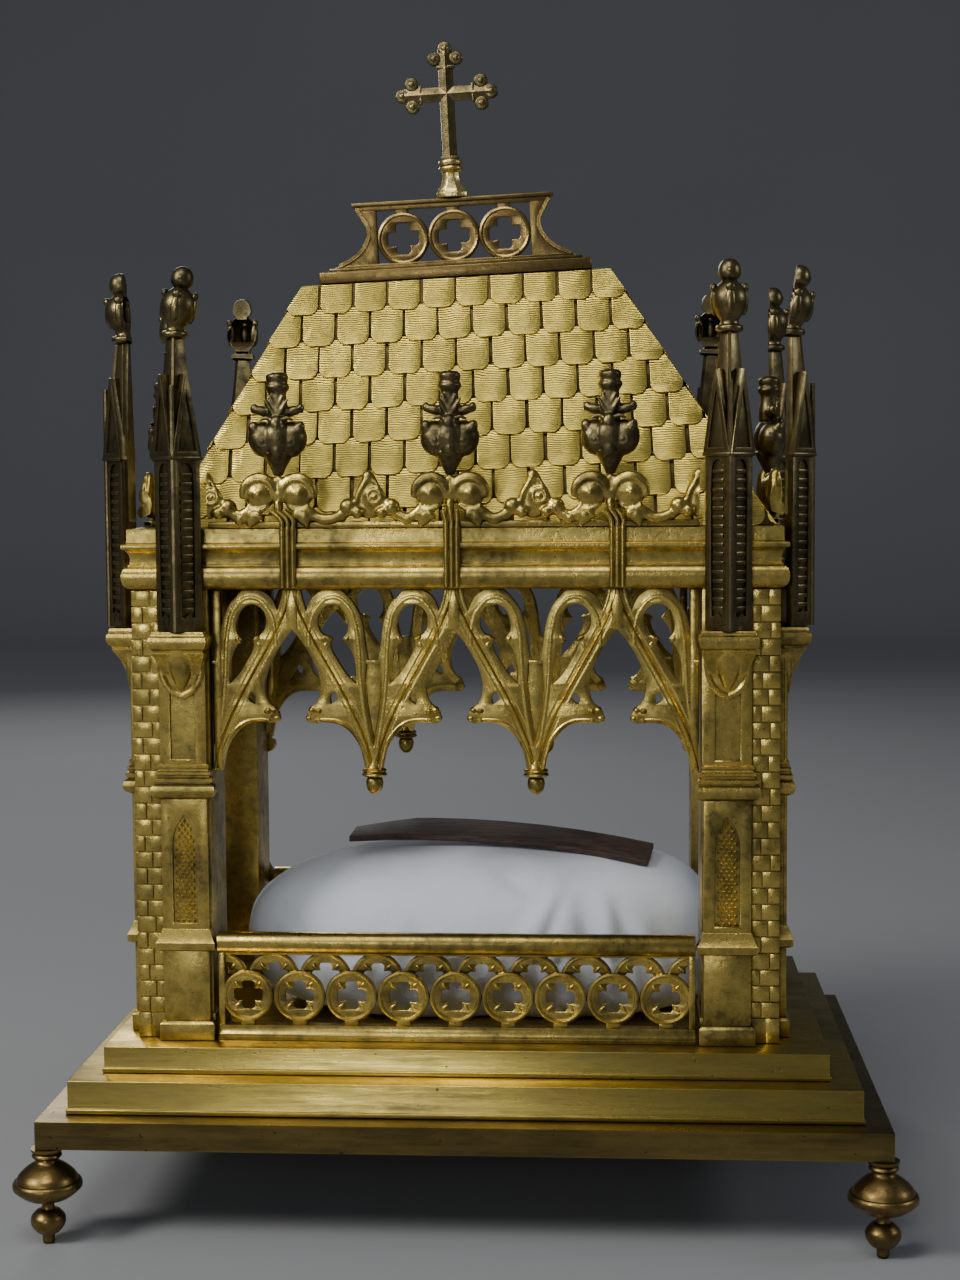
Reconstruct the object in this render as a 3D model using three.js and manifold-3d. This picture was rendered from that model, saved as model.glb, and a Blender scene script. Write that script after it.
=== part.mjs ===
// A chapel-shaped reliquary in gilt brass: stepped base on four turned feet, four corner piers with
// buttresses and pinnacles, cusped arcades, pierced balustrades, a leaf cresting and a tiled hipped
// roof with a ridge crest and cross. Inside, a cushion carries a thin relic slat.
// Millimetres, +Z up. The origin is the middle of the footprint, on the plane that the feet stand on.
import * as THREE from 'three';
import { mergeVertices } from 'three/addons/utils/BufferGeometryUtils.js';
import Module from 'manifold-3d';

const wasm = await Module();
wasm.setup();

// ---- driving dimensions -------------------------------------------------------------------------

const GAP = 0.3;                       // clearance between pieces that touch

const FOOT_HEIGHT = 46;
const FOOT_RADIUS = 16.4;
const FOOT_INSET = 4.5;                // foot axis to the slab's edges

const SLAB = { halfX: 200, halfY: 127.8, height: 13.2 };
const LOWER_STEP = { halfX: 187.4, halfY: 115.2, height: 15.8 };
const UPPER_STEP = { halfX: 173, halfY: 100.8, height: 12.6 };
const SHEET = 3;                       // thickness of the slab's sheet metal
const STEP_BEAD = 2.2;                 // height of the bead that edges the foot of each step

const SLAB_TOP = FOOT_HEIGHT + GAP + SLAB.height;
const LOWER_TOP = SLAB_TOP + GAP + LOWER_STEP.height;
const FLOOR = LOWER_TOP + GAP + UPPER_STEP.height;

const CHAPEL_SHIFT_X = -4.5;           // the chapel stands a little left of the middle of its base
const HALF_X = 155.3;                  // outer faces of the piers
const HALF_Y = 83.3;
const PIER = 38;                       // side of a pier's square section
const PIER_TOP = 307;
const PIER_FOOT = 12;                  // height of the plain block at a pier's foot
const BUTTRESS_INSET = 25.1;           // buttress axis to the pier's outer corner

const STRING_Z = 208.5;                // string course at half the height of a buttress
const CAP_Z = 279.5;                   // corbel cap that carries a pinnacle
const CAP_TOP = 287.7;

const CORNICE_BOTTOM = PIER_TOP + GAP;
const CORNICE_TOP = 336.5;
const CORNICE_INWARD = 16;             // how far the cornice beam reaches inside the pier faces
const CORNICE_PROUD = 3.7;             // how far its mouldings stand outside them

const ARCH_PITCH = 2 * (HALF_X - PIER) / 3;
const PENDANT_RING_Z = 216.2;
const PENDANT_TIP_Z = 207.6;
const TRACERY_DEPTH = 6.5;
const TRACERY_SETBACK = 4.5;           // front of the tracery behind the pier faces

const RAIL_Z = 136;                    // axis of the balustrade's hand rail
const RING_PITCH = 25.3;
const RING_Z = 110;                    // centres of the balustrade's rings

const ROOF_LEAN = THREE.MathUtils.degToRad(2.6);   // the roof sits askew: its left side is low
const ROOF_PIVOT_X = 2.6;
const ROOF_FOOT_Z = 329.4;
const ROOF_TOP_Z = 461.7;
const ROOF_FOOT = { halfX: 149, halfY: 76 };
const ROOF_TOP = { halfX: 76.7, halfY: 7.5 };
const ROOF_COURSES = 8;
const ROOF_LAP = 1.1;                  // how far each course of tiles stands over the next one
const ROOF_WALL = 2.4;

// ---- finishes -----------------------------------------------------------------------------------

function finish(name, colour, roughness, metalness) {
  return () => new THREE.MeshStandardMaterial({ name, color: colour, roughness, metalness });
}

const giltBrass = finish('gilt_brass', 0xa98a3c, 0.36, 1);
const paleGilt = finish('pale_gilt', 0xcdbb74, 0.34, 1);
const darkBronze = finish('dark_bronze', 0x5b5140, 0.45, 0.9);
const wornBrass = finish('worn_brass', 0x6f5c34, 0.42, 1);
const whiteCotton = finish('white_cotton', 0xdfe4ee, 0.95, 0);
const darkWood = finish('dark_wood', 0x3a2a22, 0.8, 0);

// ---- solid modelling helpers --------------------------------------------------------------------

// A three.js geometry as a closed solid that can be joined and cut.
function solid(geometry) {
  const bare = geometry.clone();
  bare.deleteAttribute('normal');
  bare.deleteAttribute('uv');
  const welded = mergeVertices(bare, 1e-4);
  return new wasm.Manifold(new wasm.Mesh({
    numProp: 3,
    vertProperties: new Float32Array(welded.attributes.position.array),
    triVerts: new Uint32Array(welded.index.array),
  }));
}

function join(...solids) {
  return solids.flat().reduce((sum, next) => sum.add(next));
}

function cut(body, ...tools) {
  return tools.flat().reduce((rest, tool) => rest.subtract(tool), body);
}

function geometryOf(body) {
  const mesh = body.getMesh();
  const geometry = new THREE.BufferGeometry();
  geometry.setAttribute('position', new THREE.BufferAttribute(new Float32Array(mesh.vertProperties), 3));
  geometry.setIndex(new THREE.BufferAttribute(new Uint32Array(mesh.triVerts), 1));
  const flat = geometry.toNonIndexed();
  flat.computeVertexNormals();
  return flat;
}

function box(x0, x1, y0, y1, z0, z1) {
  const geometry = new THREE.BoxGeometry(x1 - x0, y1 - y0, z1 - z0);
  geometry.translate((x0 + x1) / 2, (y0 + y1) / 2, (z0 + z1) / 2);
  return solid(geometry);
}

// An upright outline of [x, z] points, given thickness from y0 (front) to y1 (back).
function plate(outline, y0, y1) {
  const shape = new THREE.Shape(outline.map(([x, z]) => new THREE.Vector2(x, z)));
  const geometry = new THREE.ExtrudeGeometry(shape, { depth: y1 - y0, bevelEnabled: false });
  geometry.rotateX(Math.PI / 2);
  geometry.translate(0, y1, 0);
  return solid(geometry);
}

// A side outline of [outward, z] points, given width from x0 to x1. Outward is towards -Y.
function sideProfile(outline, x0, x1) {
  const shape = new THREE.Shape(outline.map(([out, z]) => new THREE.Vector2(out, z)));
  const geometry = new THREE.ExtrudeGeometry(shape, { depth: x1 - x0, bevelEnabled: false });
  geometry.applyMatrix4(new THREE.Matrix4().set(
    0, 0, -1, x1,
    -1, 0, 0, 0,
    0, 1, 0, 0,
    0, 0, 0, 1));
  return solid(geometry);
}

// A turned piece from [radius, z] points that start and end on the axis.
function turned(profile, sides, x = 0, y = 0) {
  const geometry = new THREE.LatheGeometry(profile.map(([r, z]) => new THREE.Vector2(r, z)), sides);
  geometry.rotateX(Math.PI / 2);
  geometry.rotateZ(Math.PI / sides);
  geometry.translate(x, y, 0);
  return solid(geometry);
}

// A rectangular block whose top is smaller or larger than its foot.
function tapered(foot, top, z0, z1) {
  const geometry = new THREE.BoxGeometry(2, 2, z1 - z0);
  const corners = geometry.attributes.position;
  for (let i = 0; i < corners.count; i += 1) {
    const half = corners.getZ(i) > 0 ? top : foot;
    corners.setXY(i, corners.getX(i) * half.halfX, corners.getY(i) * half.halfY);
  }
  geometry.translate(0, 0, (z0 + z1) / 2);
  return solid(geometry);
}

// Points of a circle's arc in the upright plane, from angle a0 to a1 in degrees.
function arc(cx, cz, radius, a0, a1, steps) {
  const points = [];
  for (let i = 0; i <= steps; i += 1) {
    const angle = THREE.MathUtils.degToRad(a0 + (a1 - a0) * i / steps);
    points.push([cx + radius * Math.cos(angle), cz + radius * Math.sin(angle)]);
  }
  return points;
}

function mirrored(outline) {
  return outline.map(([x, z]) => [-x, z]).reverse();
}

function shifted(outline, dx) {
  return outline.map(([x, z]) => [x + dx, z]);
}

// Four-lobed opening: two points on each lobe and a cusp between lobes.
function quatrefoil(cx, cz, reach) {
  const points = [];
  for (let lobe = 0; lobe < 4; lobe += 1) {
    const middle = lobe * 90;
    const [cusp] = arc(cx, cz, reach * 0.62, middle + 45, middle + 90, 1);
    points.push(...arc(cx, cz, reach, middle - 22, middle + 22, 1), cusp);
  }
  return points;
}

// ---- scene graph --------------------------------------------------------------------------------

const reliquary = new THREE.Group();
const chapel = new THREE.Group();
chapel.position.x = CHAPEL_SHIFT_X;
reliquary.add(chapel);

function place(parent, name, body, material) {
  const mesh = new THREE.Mesh(geometryOf(body), material());
  mesh.name = name;
  parent.add(mesh);
  return mesh;
}

// Each face of the chapel has its own frame: x runs along the face and y = 0 is the pier faces.
const FACES = [
  { name: 'front', turn: 0, distance: HALF_Y, halfWidth: HALF_X },
  { name: 'right', turn: Math.PI / 2, distance: HALF_X, halfWidth: HALF_Y },
  { name: 'back', turn: Math.PI, distance: HALF_Y, halfWidth: HALF_X },
  { name: 'left', turn: -Math.PI / 2, distance: HALF_X, halfWidth: HALF_Y },
];
for (const face of FACES) {
  face.bayHalf = face.halfWidth - PIER;
  face.arches = face.halfWidth === HALF_X ? 3 : 1;
  const side = new THREE.Group();
  side.rotation.z = face.turn;
  chapel.add(side);
  face.group = new THREE.Group();
  face.group.position.y = -face.distance;
  side.add(face.group);
}

// ---- feet: turned bun over a ball, one under each corner of the slab ------------------------------

function makeFoot() {
  return turned([
    [0, 0],
    [2.6, 0],
    [3, 4.8],
    [8, 8],
    [8, 13.6],
    [2.8, 18.2],
    [15.4, 26.4],
    [FOOT_RADIUS, 29.6],
    [5.4, 40.6],
    [7.4, FOOT_HEIGHT],
    [0, FOOT_HEIGHT],
  ], 8);
}

for (const [row, sideY] of [['front', -1], ['back', 1]]) {
  for (const [column, sideX] of [['left', -1], ['right', 1]]) {
    const foot = place(reliquary, `foot_${row}_${column}`, makeFoot(), wornBrass);
    foot.position.set(sideX * (SLAB.halfX - FOOT_INSET), sideY * (SLAB.halfY - FOOT_INSET), 0);
  }
}

// ---- base: a sheet-metal slab, open below with a block over each foot, and two steps ---------------

const BLOCK_HALF = 15;                 // half the side of a block over a foot
const BEAD_PROUD = 0.8;

function makeSlab() {
  const z0 = FOOT_HEIGHT + GAP;
  const inner = { halfX: SLAB.halfX - SHEET, halfY: SLAB.halfY - SHEET };
  const outside = tapered(SLAB, SLAB, z0, SLAB_TOP);
  const inside = tapered(inner, inner, z0 - 1, SLAB_TOP - SHEET);
  const corners = [-1, 1].flatMap((sideX) => [-1, 1].map((sideY) => {
    const x = sideX * (SLAB.halfX - BLOCK_HALF);
    const y = sideY * (SLAB.halfY - BLOCK_HALF);
    return box(x - BLOCK_HALF, x + BLOCK_HALF, y - BLOCK_HALF, y + BLOCK_HALF, z0, SLAB_TOP);
  }));
  return join(cut(outside, inside), corners);
}

function makeStep(size, z0) {
  const bead = { halfX: size.halfX + BEAD_PROUD, halfY: size.halfY + BEAD_PROUD };
  return join(tapered(size, size, z0, z0 + size.height), tapered(bead, bead, z0, z0 + STEP_BEAD));
}

place(reliquary, 'base_slab', makeSlab(), wornBrass);
place(reliquary, 'base_lower_step', makeStep(LOWER_STEP, SLAB_TOP + GAP), giltBrass);
place(reliquary, 'base_upper_step', makeStep(UPPER_STEP, LOWER_TOP + GAP), giltBrass);

// ---- piers: square corner posts with a plain foot block -------------------------------------------

const PIER_BOTTOM = FLOOR + GAP;
const PIER_FOOT_PROUD = 0.8;

function makePier() {
  const foot = { halfX: PIER / 2, halfY: PIER / 2 };
  const shaft = { halfX: PIER / 2 - PIER_FOOT_PROUD, halfY: PIER / 2 - PIER_FOOT_PROUD };
  const block = tapered(foot, foot, PIER_BOTTOM, PIER_BOTTOM + PIER_FOOT);
  return join(block, tapered(shaft, shaft, PIER_BOTTOM, PIER_TOP));
}

for (const [row, sideY] of [['front', -1], ['back', 1]]) {
  for (const [column, sideX] of [['left', -1], ['right', 1]]) {
    const pier = place(chapel, `pier_${row}_${column}`, makePier(), giltBrass);
    pier.position.set(sideX * (HALF_X - PIER / 2), sideY * (HALF_Y - PIER / 2), 0);
  }
}

// ---- buttresses: one on each outer face of each pier ----------------------------------------------

const BUTTRESS_FOOT_Z = 98;            // top of the buttress's foot block
const SILL_Z = 133.4;                  // weathered sill under the niche
const SILL_TOP = 142.6;
const CORBEL_DROP = 19.4;              // height of the corbel under the cap
const SHAFT_OUT = 4.4;                 // projection of the plain stages from the pier face
const SHAFT_HALF = 11.3;

// Each stage: foot z, top z, half width, projection from the pier face.
const BUTTRESS_STAGES = [
  [PIER_BOTTOM, BUTTRESS_FOOT_Z, 13.4, 6],
  [BUTTRESS_FOOT_Z, SILL_Z, SHAFT_HALF, SHAFT_OUT],
  [SILL_TOP, STRING_Z, SHAFT_HALF, SHAFT_OUT],
  [STRING_Z, STRING_Z + 8, 15.6, 8],
  [STRING_Z + 8, STRING_Z + 14.5, 13.2, 6],
  [STRING_Z + 14.5, CAP_Z, SHAFT_HALF, SHAFT_OUT],
  [CAP_Z, CAP_TOP, 14, 15.4],
];

// The sloping sill that sheds the wall above it, a little wider than the shaft.
function makeSill() {
  const outline = [
    [GAP, SILL_Z],
    [7.4, SILL_Z],
    [7.4, SILL_Z + 3.6],
    [SHAFT_OUT, SILL_TOP],
    [GAP, SILL_TOP],
  ];
  return sideProfile(outline, -14.4, 14.4);
}

// The corbel tapers forwards and sideways down to a point on the wall.
function makeCorbel() {
  const foot = CAP_Z - CORBEL_DROP;
  const side = sideProfile([[1, CAP_Z], [13.6, CAP_Z], [SHAFT_OUT, foot], [1, foot]], -13, 13);
  const half = [[0, foot], [8.6, CAP_Z - 10], [12.6, CAP_Z]];
  return side.intersect(plate([...half, ...mirrored(half).slice(0, -1)], -16, 0));
}

// A sunk niche with a pointed head.
function makeNiche() {
  const half = [[5.9, 145.5], [5.9, 188], [0, 198.8]];
  return plate([...half, ...mirrored(half).slice(1)], -9, -3.2);
}

function makeButtress() {
  const stages = BUTTRESS_STAGES.map(([z0, z1, half, out]) => box(-half, half, -out, -GAP, z0, z1));
  return cut(join(stages, makeSill(), makeCorbel()), makeNiche());
}

// ---- pinnacles: half castings, square and set arris outwards, with a flat back --------------------

const PINNACLE_BACK = CORNICE_PROUD + GAP + 0.2;
const PINNACLE_HALF = 10.8;            // half the diagonal of the shaft
const PINNACLE_AXIS = PINNACLE_BACK + 2;
const PINNACLE_EAVE_Z = 370.4;
const SPIRE_TOP_Z = 428.4;
const KNOB_TOP_Z = 460.2;

function diamond(r0, r1, z0, z1) {
  const geometry = new THREE.CylinderGeometry(r1, r0, z1 - z0, 4);
  geometry.rotateX(Math.PI / 2);
  geometry.translate(0, -PINNACLE_AXIS, (z0 + z1) / 2);
  return solid(geometry);
}

// A gablet that lies on one of the shaft's two outward faces; side is -1 or 1.
function onPinnacleFace(outline, inset, proud, side) {
  const shape = new THREE.Shape(outline.map(([x, z]) => new THREE.Vector2(x, z)));
  const geometry = new THREE.ExtrudeGeometry(shape, { depth: inset + proud, bevelEnabled: false });
  const apothem = PINNACLE_HALF / Math.SQRT2;
  geometry.rotateX(Math.PI / 2);
  geometry.translate(0, -apothem + inset, 0);
  geometry.rotateZ(side * Math.PI / 4);
  geometry.translate(0, -PINNACLE_AXIS, 0);
  return solid(geometry);
}

// The bud and knob lean by small angles where the soft metal has been bent.
function makePinnacle(bend) {
  const faceHalf = PINNACLE_HALF / Math.SQRT2;
  const gabletOutline = [
    [-faceHalf - 0.6, PINNACLE_EAVE_Z],
    [faceHalf + 0.6, PINNACLE_EAVE_Z],
    [0, PINNACLE_EAVE_Z + 38],
  ];
  const shaft = diamond(PINNACLE_HALF, PINNACLE_HALF, CAP_TOP + GAP, PINNACLE_EAVE_Z);
  const gablets = [-1, 1].map((side) => onPinnacleFace(gabletOutline, 3.4, 0.7, side));
  const spire = diamond(PINNACLE_HALF, 4, PINNACLE_EAVE_Z, SPIRE_TOP_Z);
  const sheath = diamond(PINNACLE_HALF + 2.6, 4, PINNACLE_EAVE_Z, SPIRE_TOP_Z);
  const bud = turned([
    [0, SPIRE_TOP_Z],
    [5.8, SPIRE_TOP_Z],
    [4.2, SPIRE_TOP_Z + 4.6],
    [8.4, SPIRE_TOP_Z + 11],
    [7.6, SPIRE_TOP_Z + 19.6],
    [4.4, SPIRE_TOP_Z + 20.4],
    [5.2, KNOB_TOP_Z - 5],
    [0, KNOB_TOP_Z],
  ], 6, 0, -PINNACLE_AXIS);
  const toRoot = [0, PINNACLE_AXIS, -SPIRE_TOP_Z];
  const fromRoot = toRoot.map((value) => -value);
  const bent = bud.translate(toRoot).rotate([bend.outward, bend.sideways, 0]).translate(fromRoot);
  const whole = join(shaft, spire, join(gablets).intersect(sheath), bent);
  const behind = box(-20, 20, -PINNACLE_BACK, 10, CAP_TOP - 1, KNOB_TOP_Z + 20);
  const spur = box(-6.5, 6.5, -PINNACLE_BACK - 1, -GAP, CAP_TOP + GAP, CORNICE_BOTTOM - 1);
  return join(cut(whole, behind), spur);
}

const STRAIGHT = { outward: 0, sideways: 0 };
const BENDS = {
  pinnacle_front_left: { outward: 0, sideways: 9 },
  pinnacle_left_front: { outward: 4, sideways: 0 },
  pinnacle_right_front: { outward: 8, sideways: 0 },
};

for (const face of FACES) {
  const ends = {
    front: ['left', 'right'],
    right: ['front', 'back'],
    back: ['right', 'left'],
    left: ['back', 'front'],
  }[face.name];
  ends.forEach((end, index) => {
    const x = (index === 0 ? -1 : 1) * (face.halfWidth - BUTTRESS_INSET);
    const buttress = place(face.group, `buttress_${face.name}_${end}`, makeButtress(), giltBrass);
    buttress.position.x = x;
    const name = `pinnacle_${face.name}_${end}`;
    const pinnacle = place(face.group, name, makePinnacle(BENDS[name] ?? STRAIGHT), darkBronze);
    pinnacle.position.x = x;
  });
}

// ---- cornice: one mitred frame with a torus roll, a plain frieze and a ledge ----------------------

// Outer mouldings as [outward from the pier faces, z], from the underside to the top.
const CORNICE_PROFILE = [
  [0, CORNICE_BOTTOM],
  [2.4, 309],
  [CORNICE_PROUD, 313.6],
  [2.4, 318],
  [0, 318.6],
  [0, 324.6],
  [CORNICE_PROUD, 327.4],
  [CORNICE_PROUD, 329],
  [1.2, 331],
  [1.2, CORNICE_TOP],
];

function makeCornice() {
  const levels = CORNICE_PROFILE.slice(1).map(([out, z], i) => {
    const [lowOut, lowZ] = CORNICE_PROFILE[i];
    if (z === lowZ) {
      return null;
    }
    const foot = { halfX: HALF_X + lowOut, halfY: HALF_Y + lowOut };
    const top = { halfX: HALF_X + out, halfY: HALF_Y + out };
    return tapered(foot, top, lowZ, z);
  });
  const well = { halfX: HALF_X - CORNICE_INWARD, halfY: HALF_Y - CORNICE_INWARD };
  return cut(join(levels.filter(Boolean)), tapered(well, well, CORNICE_BOTTOM - 1, CORNICE_TOP + 1));
}

place(chapel, 'cornice', makeCornice(), giltBrass);

// ---- tracery: cusped ogee arches that meet in hanging pendants ------------------------------------

const TRACERY_TOP = CORNICE_BOTTOM - GAP;
const HALF_ARCH = ARCH_PITCH / 2;

// The light of one half arch: the open area under the strand, with the leafy cusp standing into it.
function halfLight() {
  return [
    [-0.01, PENDANT_RING_Z],
    [HALF_ARCH - 3.6, PENDANT_RING_Z],
    [HALF_ARCH - 6.6, 233.4],
    [HALF_ARCH - 12.2, 242],
    [HALF_ARCH - 21.6, 245.6],
    [9.4, 241.4],
    [6.2, 246.6],
    [14.8, 257.6],
    [11.4, 269.6],
    [-0.01, 288.4],
  ];
}

// The sunk field over a pendant, between the two strands that meet there.
function pendantField() {
  const right = [[0, 231.5], [5, 251], [3, 270.4]];
  const outline = [...right, ...mirrored(right).slice(0, -1)];
  return shifted(outline, HALF_ARCH);
}

// The keyhole light inside the loop: a round head with a narrowing tail.
function keyhole() {
  return [...arc(19.6, 291.8, 6.4, -20, 220, 3), [21.4, 281.4], [31, 263.6], [26.6, 284.4]];
}

// The gap between the heads of two neighbouring loops, over a pendant.
function headGap() {
  return [
    [HALF_ARCH, TRACERY_TOP + 1],
    [27.4, TRACERY_TOP + 1],
    [34.2, 295],
    [HALF_ARCH - 2.4, 274.4],
    [HALF_ARCH, 272.2],
  ];
}

// The small light between the stem over an arch's tip and the loop's head.
function stemGap() {
  return [[4.6, TRACERY_TOP + 1], [12, TRACERY_TOP + 1], [5.8, 296.4]];
}

function makeTracery(arches, bayHalf) {
  const front = TRACERY_SETBACK;
  const back = TRACERY_SETBACK + TRACERY_DEPTH;
  const half = bayHalf - GAP;
  const sheet = box(-half, half, front, back, PENDANT_RING_Z + 4, TRACERY_TOP);
  const lights = [];
  const pendants = [];
  for (let i = 0; i < arches; i += 1) {
    const x = (i - (arches - 1) / 2) * ARCH_PITCH;
    for (const outline of [halfLight(), keyhole(), headGap(), stemGap()]) {
      lights.push(plate(shifted(outline, x), front - 9, back + 9));
      lights.push(plate(shifted(mirrored(outline), x), front - 9, back + 9));
    }
    if (i > 0) {
      lights.push(plate(shifted(pendantField(), x - ARCH_PITCH), front - 9, front + 2));
      pendants.push(turned([
        [0, PENDANT_TIP_Z],
        [4.2, PENDANT_RING_Z - 0.4],
        [6.2, PENDANT_RING_Z + 1],
        [6.2, PENDANT_RING_Z + 3.6],
        [0, PENDANT_RING_Z + 6],
      ], 6, x - HALF_ARCH, front + TRACERY_DEPTH / 2));
    }
  }
  const bay = box(-half, half, front - 1, back + 1, PENDANT_TIP_Z - 1, TRACERY_TOP);
  const pierced = cut(sheet, lights).intersect(bay);
  return pendants.length ? join(pierced, pendants) : pierced;
}

// ---- balustrade: a pierced screen of interlaced rings under a round hand rail ---------------------

const BALUSTRADE_END = 2.1;            // clear of the buttress feet at both ends
const RAIL_R = 5.2;
const SILL_RAIL_TOP = 95.6;
const RING_LIGHT = 6.8;                // reach of the four-lobed light in a ring

function makeBalustrade(bayHalf) {
  const half = bayHalf - BALUSTRADE_END;
  const rings = Math.floor(2 * half / RING_PITCH + 0.1);
  const screen = box(-half, half, -1.6, 3, PIER_BOTTOM, RAIL_Z);
  const sill = box(-half, half, -4, 3.6, PIER_BOTTOM, SILL_RAIL_TOP);
  const rail = sideProfile(arc(-0.4, RAIL_Z, RAIL_R, 30, 330, 5), -half, half);
  const lights = [];
  for (let i = 0; i < rings; i += 1) {
    const x = (i - (rings - 1) / 2) * RING_PITCH;
    lights.push(plate(quatrefoil(x, RING_Z, RING_LIGHT), -9, 9));
    if (i > 0) {
      const middle = x - RING_PITCH / 2;
      lights.push(plate([[middle - 5.2, 126.6], [middle, 114.6], [middle + 5.2, 126.6]], -9, 9));
    }
  }
  return cut(join(screen, sill, rail), lights);
}

// ---- cresting: curled leaves on the cornice, with ribbed stems down over the frieze ----------------

const CREST_Z = CORNICE_TOP + GAP;
const VOLUTE_Z = 352.6;
const FINIAL_Z = 361.4;

const VOLUTE_R = 9;
const STEM = { half: 4, out: 5.8 };    // the ribbed stem over each arch's tip
const STEM_FOOT_Z = 308.4;

// The leaves of the front were set by eye, each a little left of its arch's middle.
const FRONT_OFFSETS = [-4.6, -0.8, -3.2];

function leafX(face, i) {
  const even = (i - (face.arches - 1) / 2) * ARCH_PITCH;
  return face.name === 'front' ? even + FRONT_OFFSETS[i] : even;
}

function makeVolute(x) {
  const geometry = new THREE.CylinderGeometry(VOLUTE_R, VOLUTE_R, 5.6, 6);
  geometry.translate(x, 0, VOLUTE_Z);
  return join(solid(geometry), box(x - 5, x + 5, -2, 2.4, CREST_Z, VOLUTE_Z));
}

function makeTrefoil(x) {
  const half = [[0, CREST_Z], [12.4, 343.4], [11.6, 352], [6.4, 355], [0, 364]];
  const outline = [...half, ...mirrored(half).slice(1, -1)];
  return plate(shifted(outline, x), -2, 2.4);
}

function makeCresting(face) {
  const half = face.bayHalf - 0.4;
  const parts = [box(-half, half, -2, 2.4, CREST_Z, CREST_Z + 4.4)];
  for (let i = 0; i <= face.arches; i += 1) {
    parts.push(makeTrefoil((i - face.arches / 2) * ARCH_PITCH));
  }
  for (let i = 0; i < face.arches; i += 1) {
    const tip = (i - (face.arches - 1) / 2) * ARCH_PITCH;
    const x = leafX(face, i);
    const [left, right] = [tip - STEM.half, tip + STEM.half];
    parts.push(box(left, right, -STEM.out, -CORNICE_PROUD - GAP, STEM_FOOT_Z, CREST_Z));
    parts.push(box(left, right, -STEM.out, 2, CREST_Z, CREST_Z + 4.4));
    parts.push(box(x - STEM.half, x + STEM.half, -STEM.out, 2, CREST_Z, FINIAL_Z - GAP));
    parts.push(makeVolute(x - VOLUTE_R), makeVolute(x + VOLUTE_R));
  }
  return join(parts).intersect(box(-half, half, -20, 20, STEM_FOOT_Z - 1, FINIAL_Z + 9));
}

// ---- finials: dark bronze buds that stand on the cresting over each arch --------------------------

function makeFinial() {
  const bud = turned([
    [0, FINIAL_Z],
    [2.2, FINIAL_Z],
    [13, 373],
    [14.8, 380],
    [6, 391],
    [4, 402],
    [5, 406.4],
    [0, 410.4],
  ], 6);
  return join(bud, box(-12.4, 12.4, -3, 3, 390.4, 396));
}

for (const face of FACES) {
  const { arches, bayHalf, group, name } = face;
  place(group, `tracery_${name}`, makeTracery(arches, bayHalf), giltBrass);
  place(group, `balustrade_${name}`, makeBalustrade(bayHalf), giltBrass);
  place(group, `cresting_${name}`, makeCresting(face), giltBrass);
  for (let i = 0; i < arches; i += 1) {
    const label = arches > 1 ? `finial_${name}_${i + 1}` : `finial_${name}`;
    const finial = place(group, label, makeFinial(), darkBronze);
    finial.position.x = leafX(face, i);
  }
}

// ---- roof: a hollow hipped lid in courses of tiles, with its ridge crest and cross ----------------

// The whole roof leans about this pivot. Its foot is trimmed level, so that it beds on the cornice.
const roof = new THREE.Group();
roof.position.set(ROOF_PIVOT_X, 0, ROOF_FOOT_Z);
roof.rotation.y = -ROOF_LEAN;
chapel.add(roof);

const ROOF_HEIGHT = ROOF_TOP_Z - ROOF_FOOT_Z;

function roofHalf(share) {
  return {
    halfX: THREE.MathUtils.lerp(ROOF_FOOT.halfX, ROOF_TOP.halfX, share),
    halfY: THREE.MathUtils.lerp(ROOF_FOOT.halfY, ROOF_TOP.halfY, share),
  };
}

function makeRoof() {
  const courses = [];
  for (let i = 0; i < ROOF_COURSES; i += 1) {
    const low = i / ROOF_COURSES;
    const high = (i + 1) / ROOF_COURSES;
    const foot = roofHalf(low);
    const lapped = { halfX: foot.halfX + ROOF_LAP, halfY: foot.halfY + ROOF_LAP };
    courses.push(tapered(lapped, roofHalf(high), low * ROOF_HEIGHT, high * ROOF_HEIGHT));
  }
  const inward = 2 * ROOF_WALL;
  const wellFoot = { halfX: ROOF_FOOT.halfX - inward, halfY: ROOF_FOOT.halfY - inward };
  const wellTop = { halfX: ROOF_TOP.halfX - inward / 2, halfY: ROOF_TOP.halfY - inward };
  const well = tapered(wellFoot, wellTop, -1, ROOF_HEIGHT - inward);
  const below = box(-300, 300, -200, 200, -100, CREST_Z - ROOF_FOOT_Z);
  return cut(join(courses), well, below.rotate([0, THREE.MathUtils.radToDeg(ROOF_LEAN), 0]));
}

const RIDGE_SLAB = { halfX: 69.2, halfY: 8.6, height: 5.8 };
const SLAB_Z = ROOF_HEIGHT + GAP;
const CREST_FOOT = SLAB_Z + RIDGE_SLAB.height + GAP;
const CREST_RING_R = 13.4;
const CREST_RING_Z = CREST_FOOT + CREST_RING_R + 1.6;
const CREST_TOP = CREST_FOOT + 2 * CREST_RING_R + 7.2;
const CREST_DEPTH = 2;                 // half the thickness of the rings and brackets
const CREST_RAIL_DEPTH = 3;

// A pierced disc that hangs from the rail by a short neck.
function makeCrestRing(x) {
  const disc = plate(arc(x, CREST_RING_Z, CREST_RING_R, 22.5, 337.5, 7), -CREST_DEPTH, CREST_DEPTH);
  const neck = box(x - 3.6, x + 3.6, -CREST_DEPTH, CREST_DEPTH, CREST_RING_Z + 10, CREST_TOP - 2);
  return cut(join(disc, neck), plate(quatrefoil(x, CREST_RING_Z, 7.7), -9, 9));
}

// The right-hand bracket: its outer edge sweeps out from the rail to the foot.
function bracketOutline() {
  const sweep = arc(66, CREST_TOP - 1, 25, 186, 254, 3);
  return [[39, CREST_FOOT + 1], [39, CREST_TOP - 1], ...sweep, [64, CREST_FOOT + 1]].reverse();
}

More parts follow.
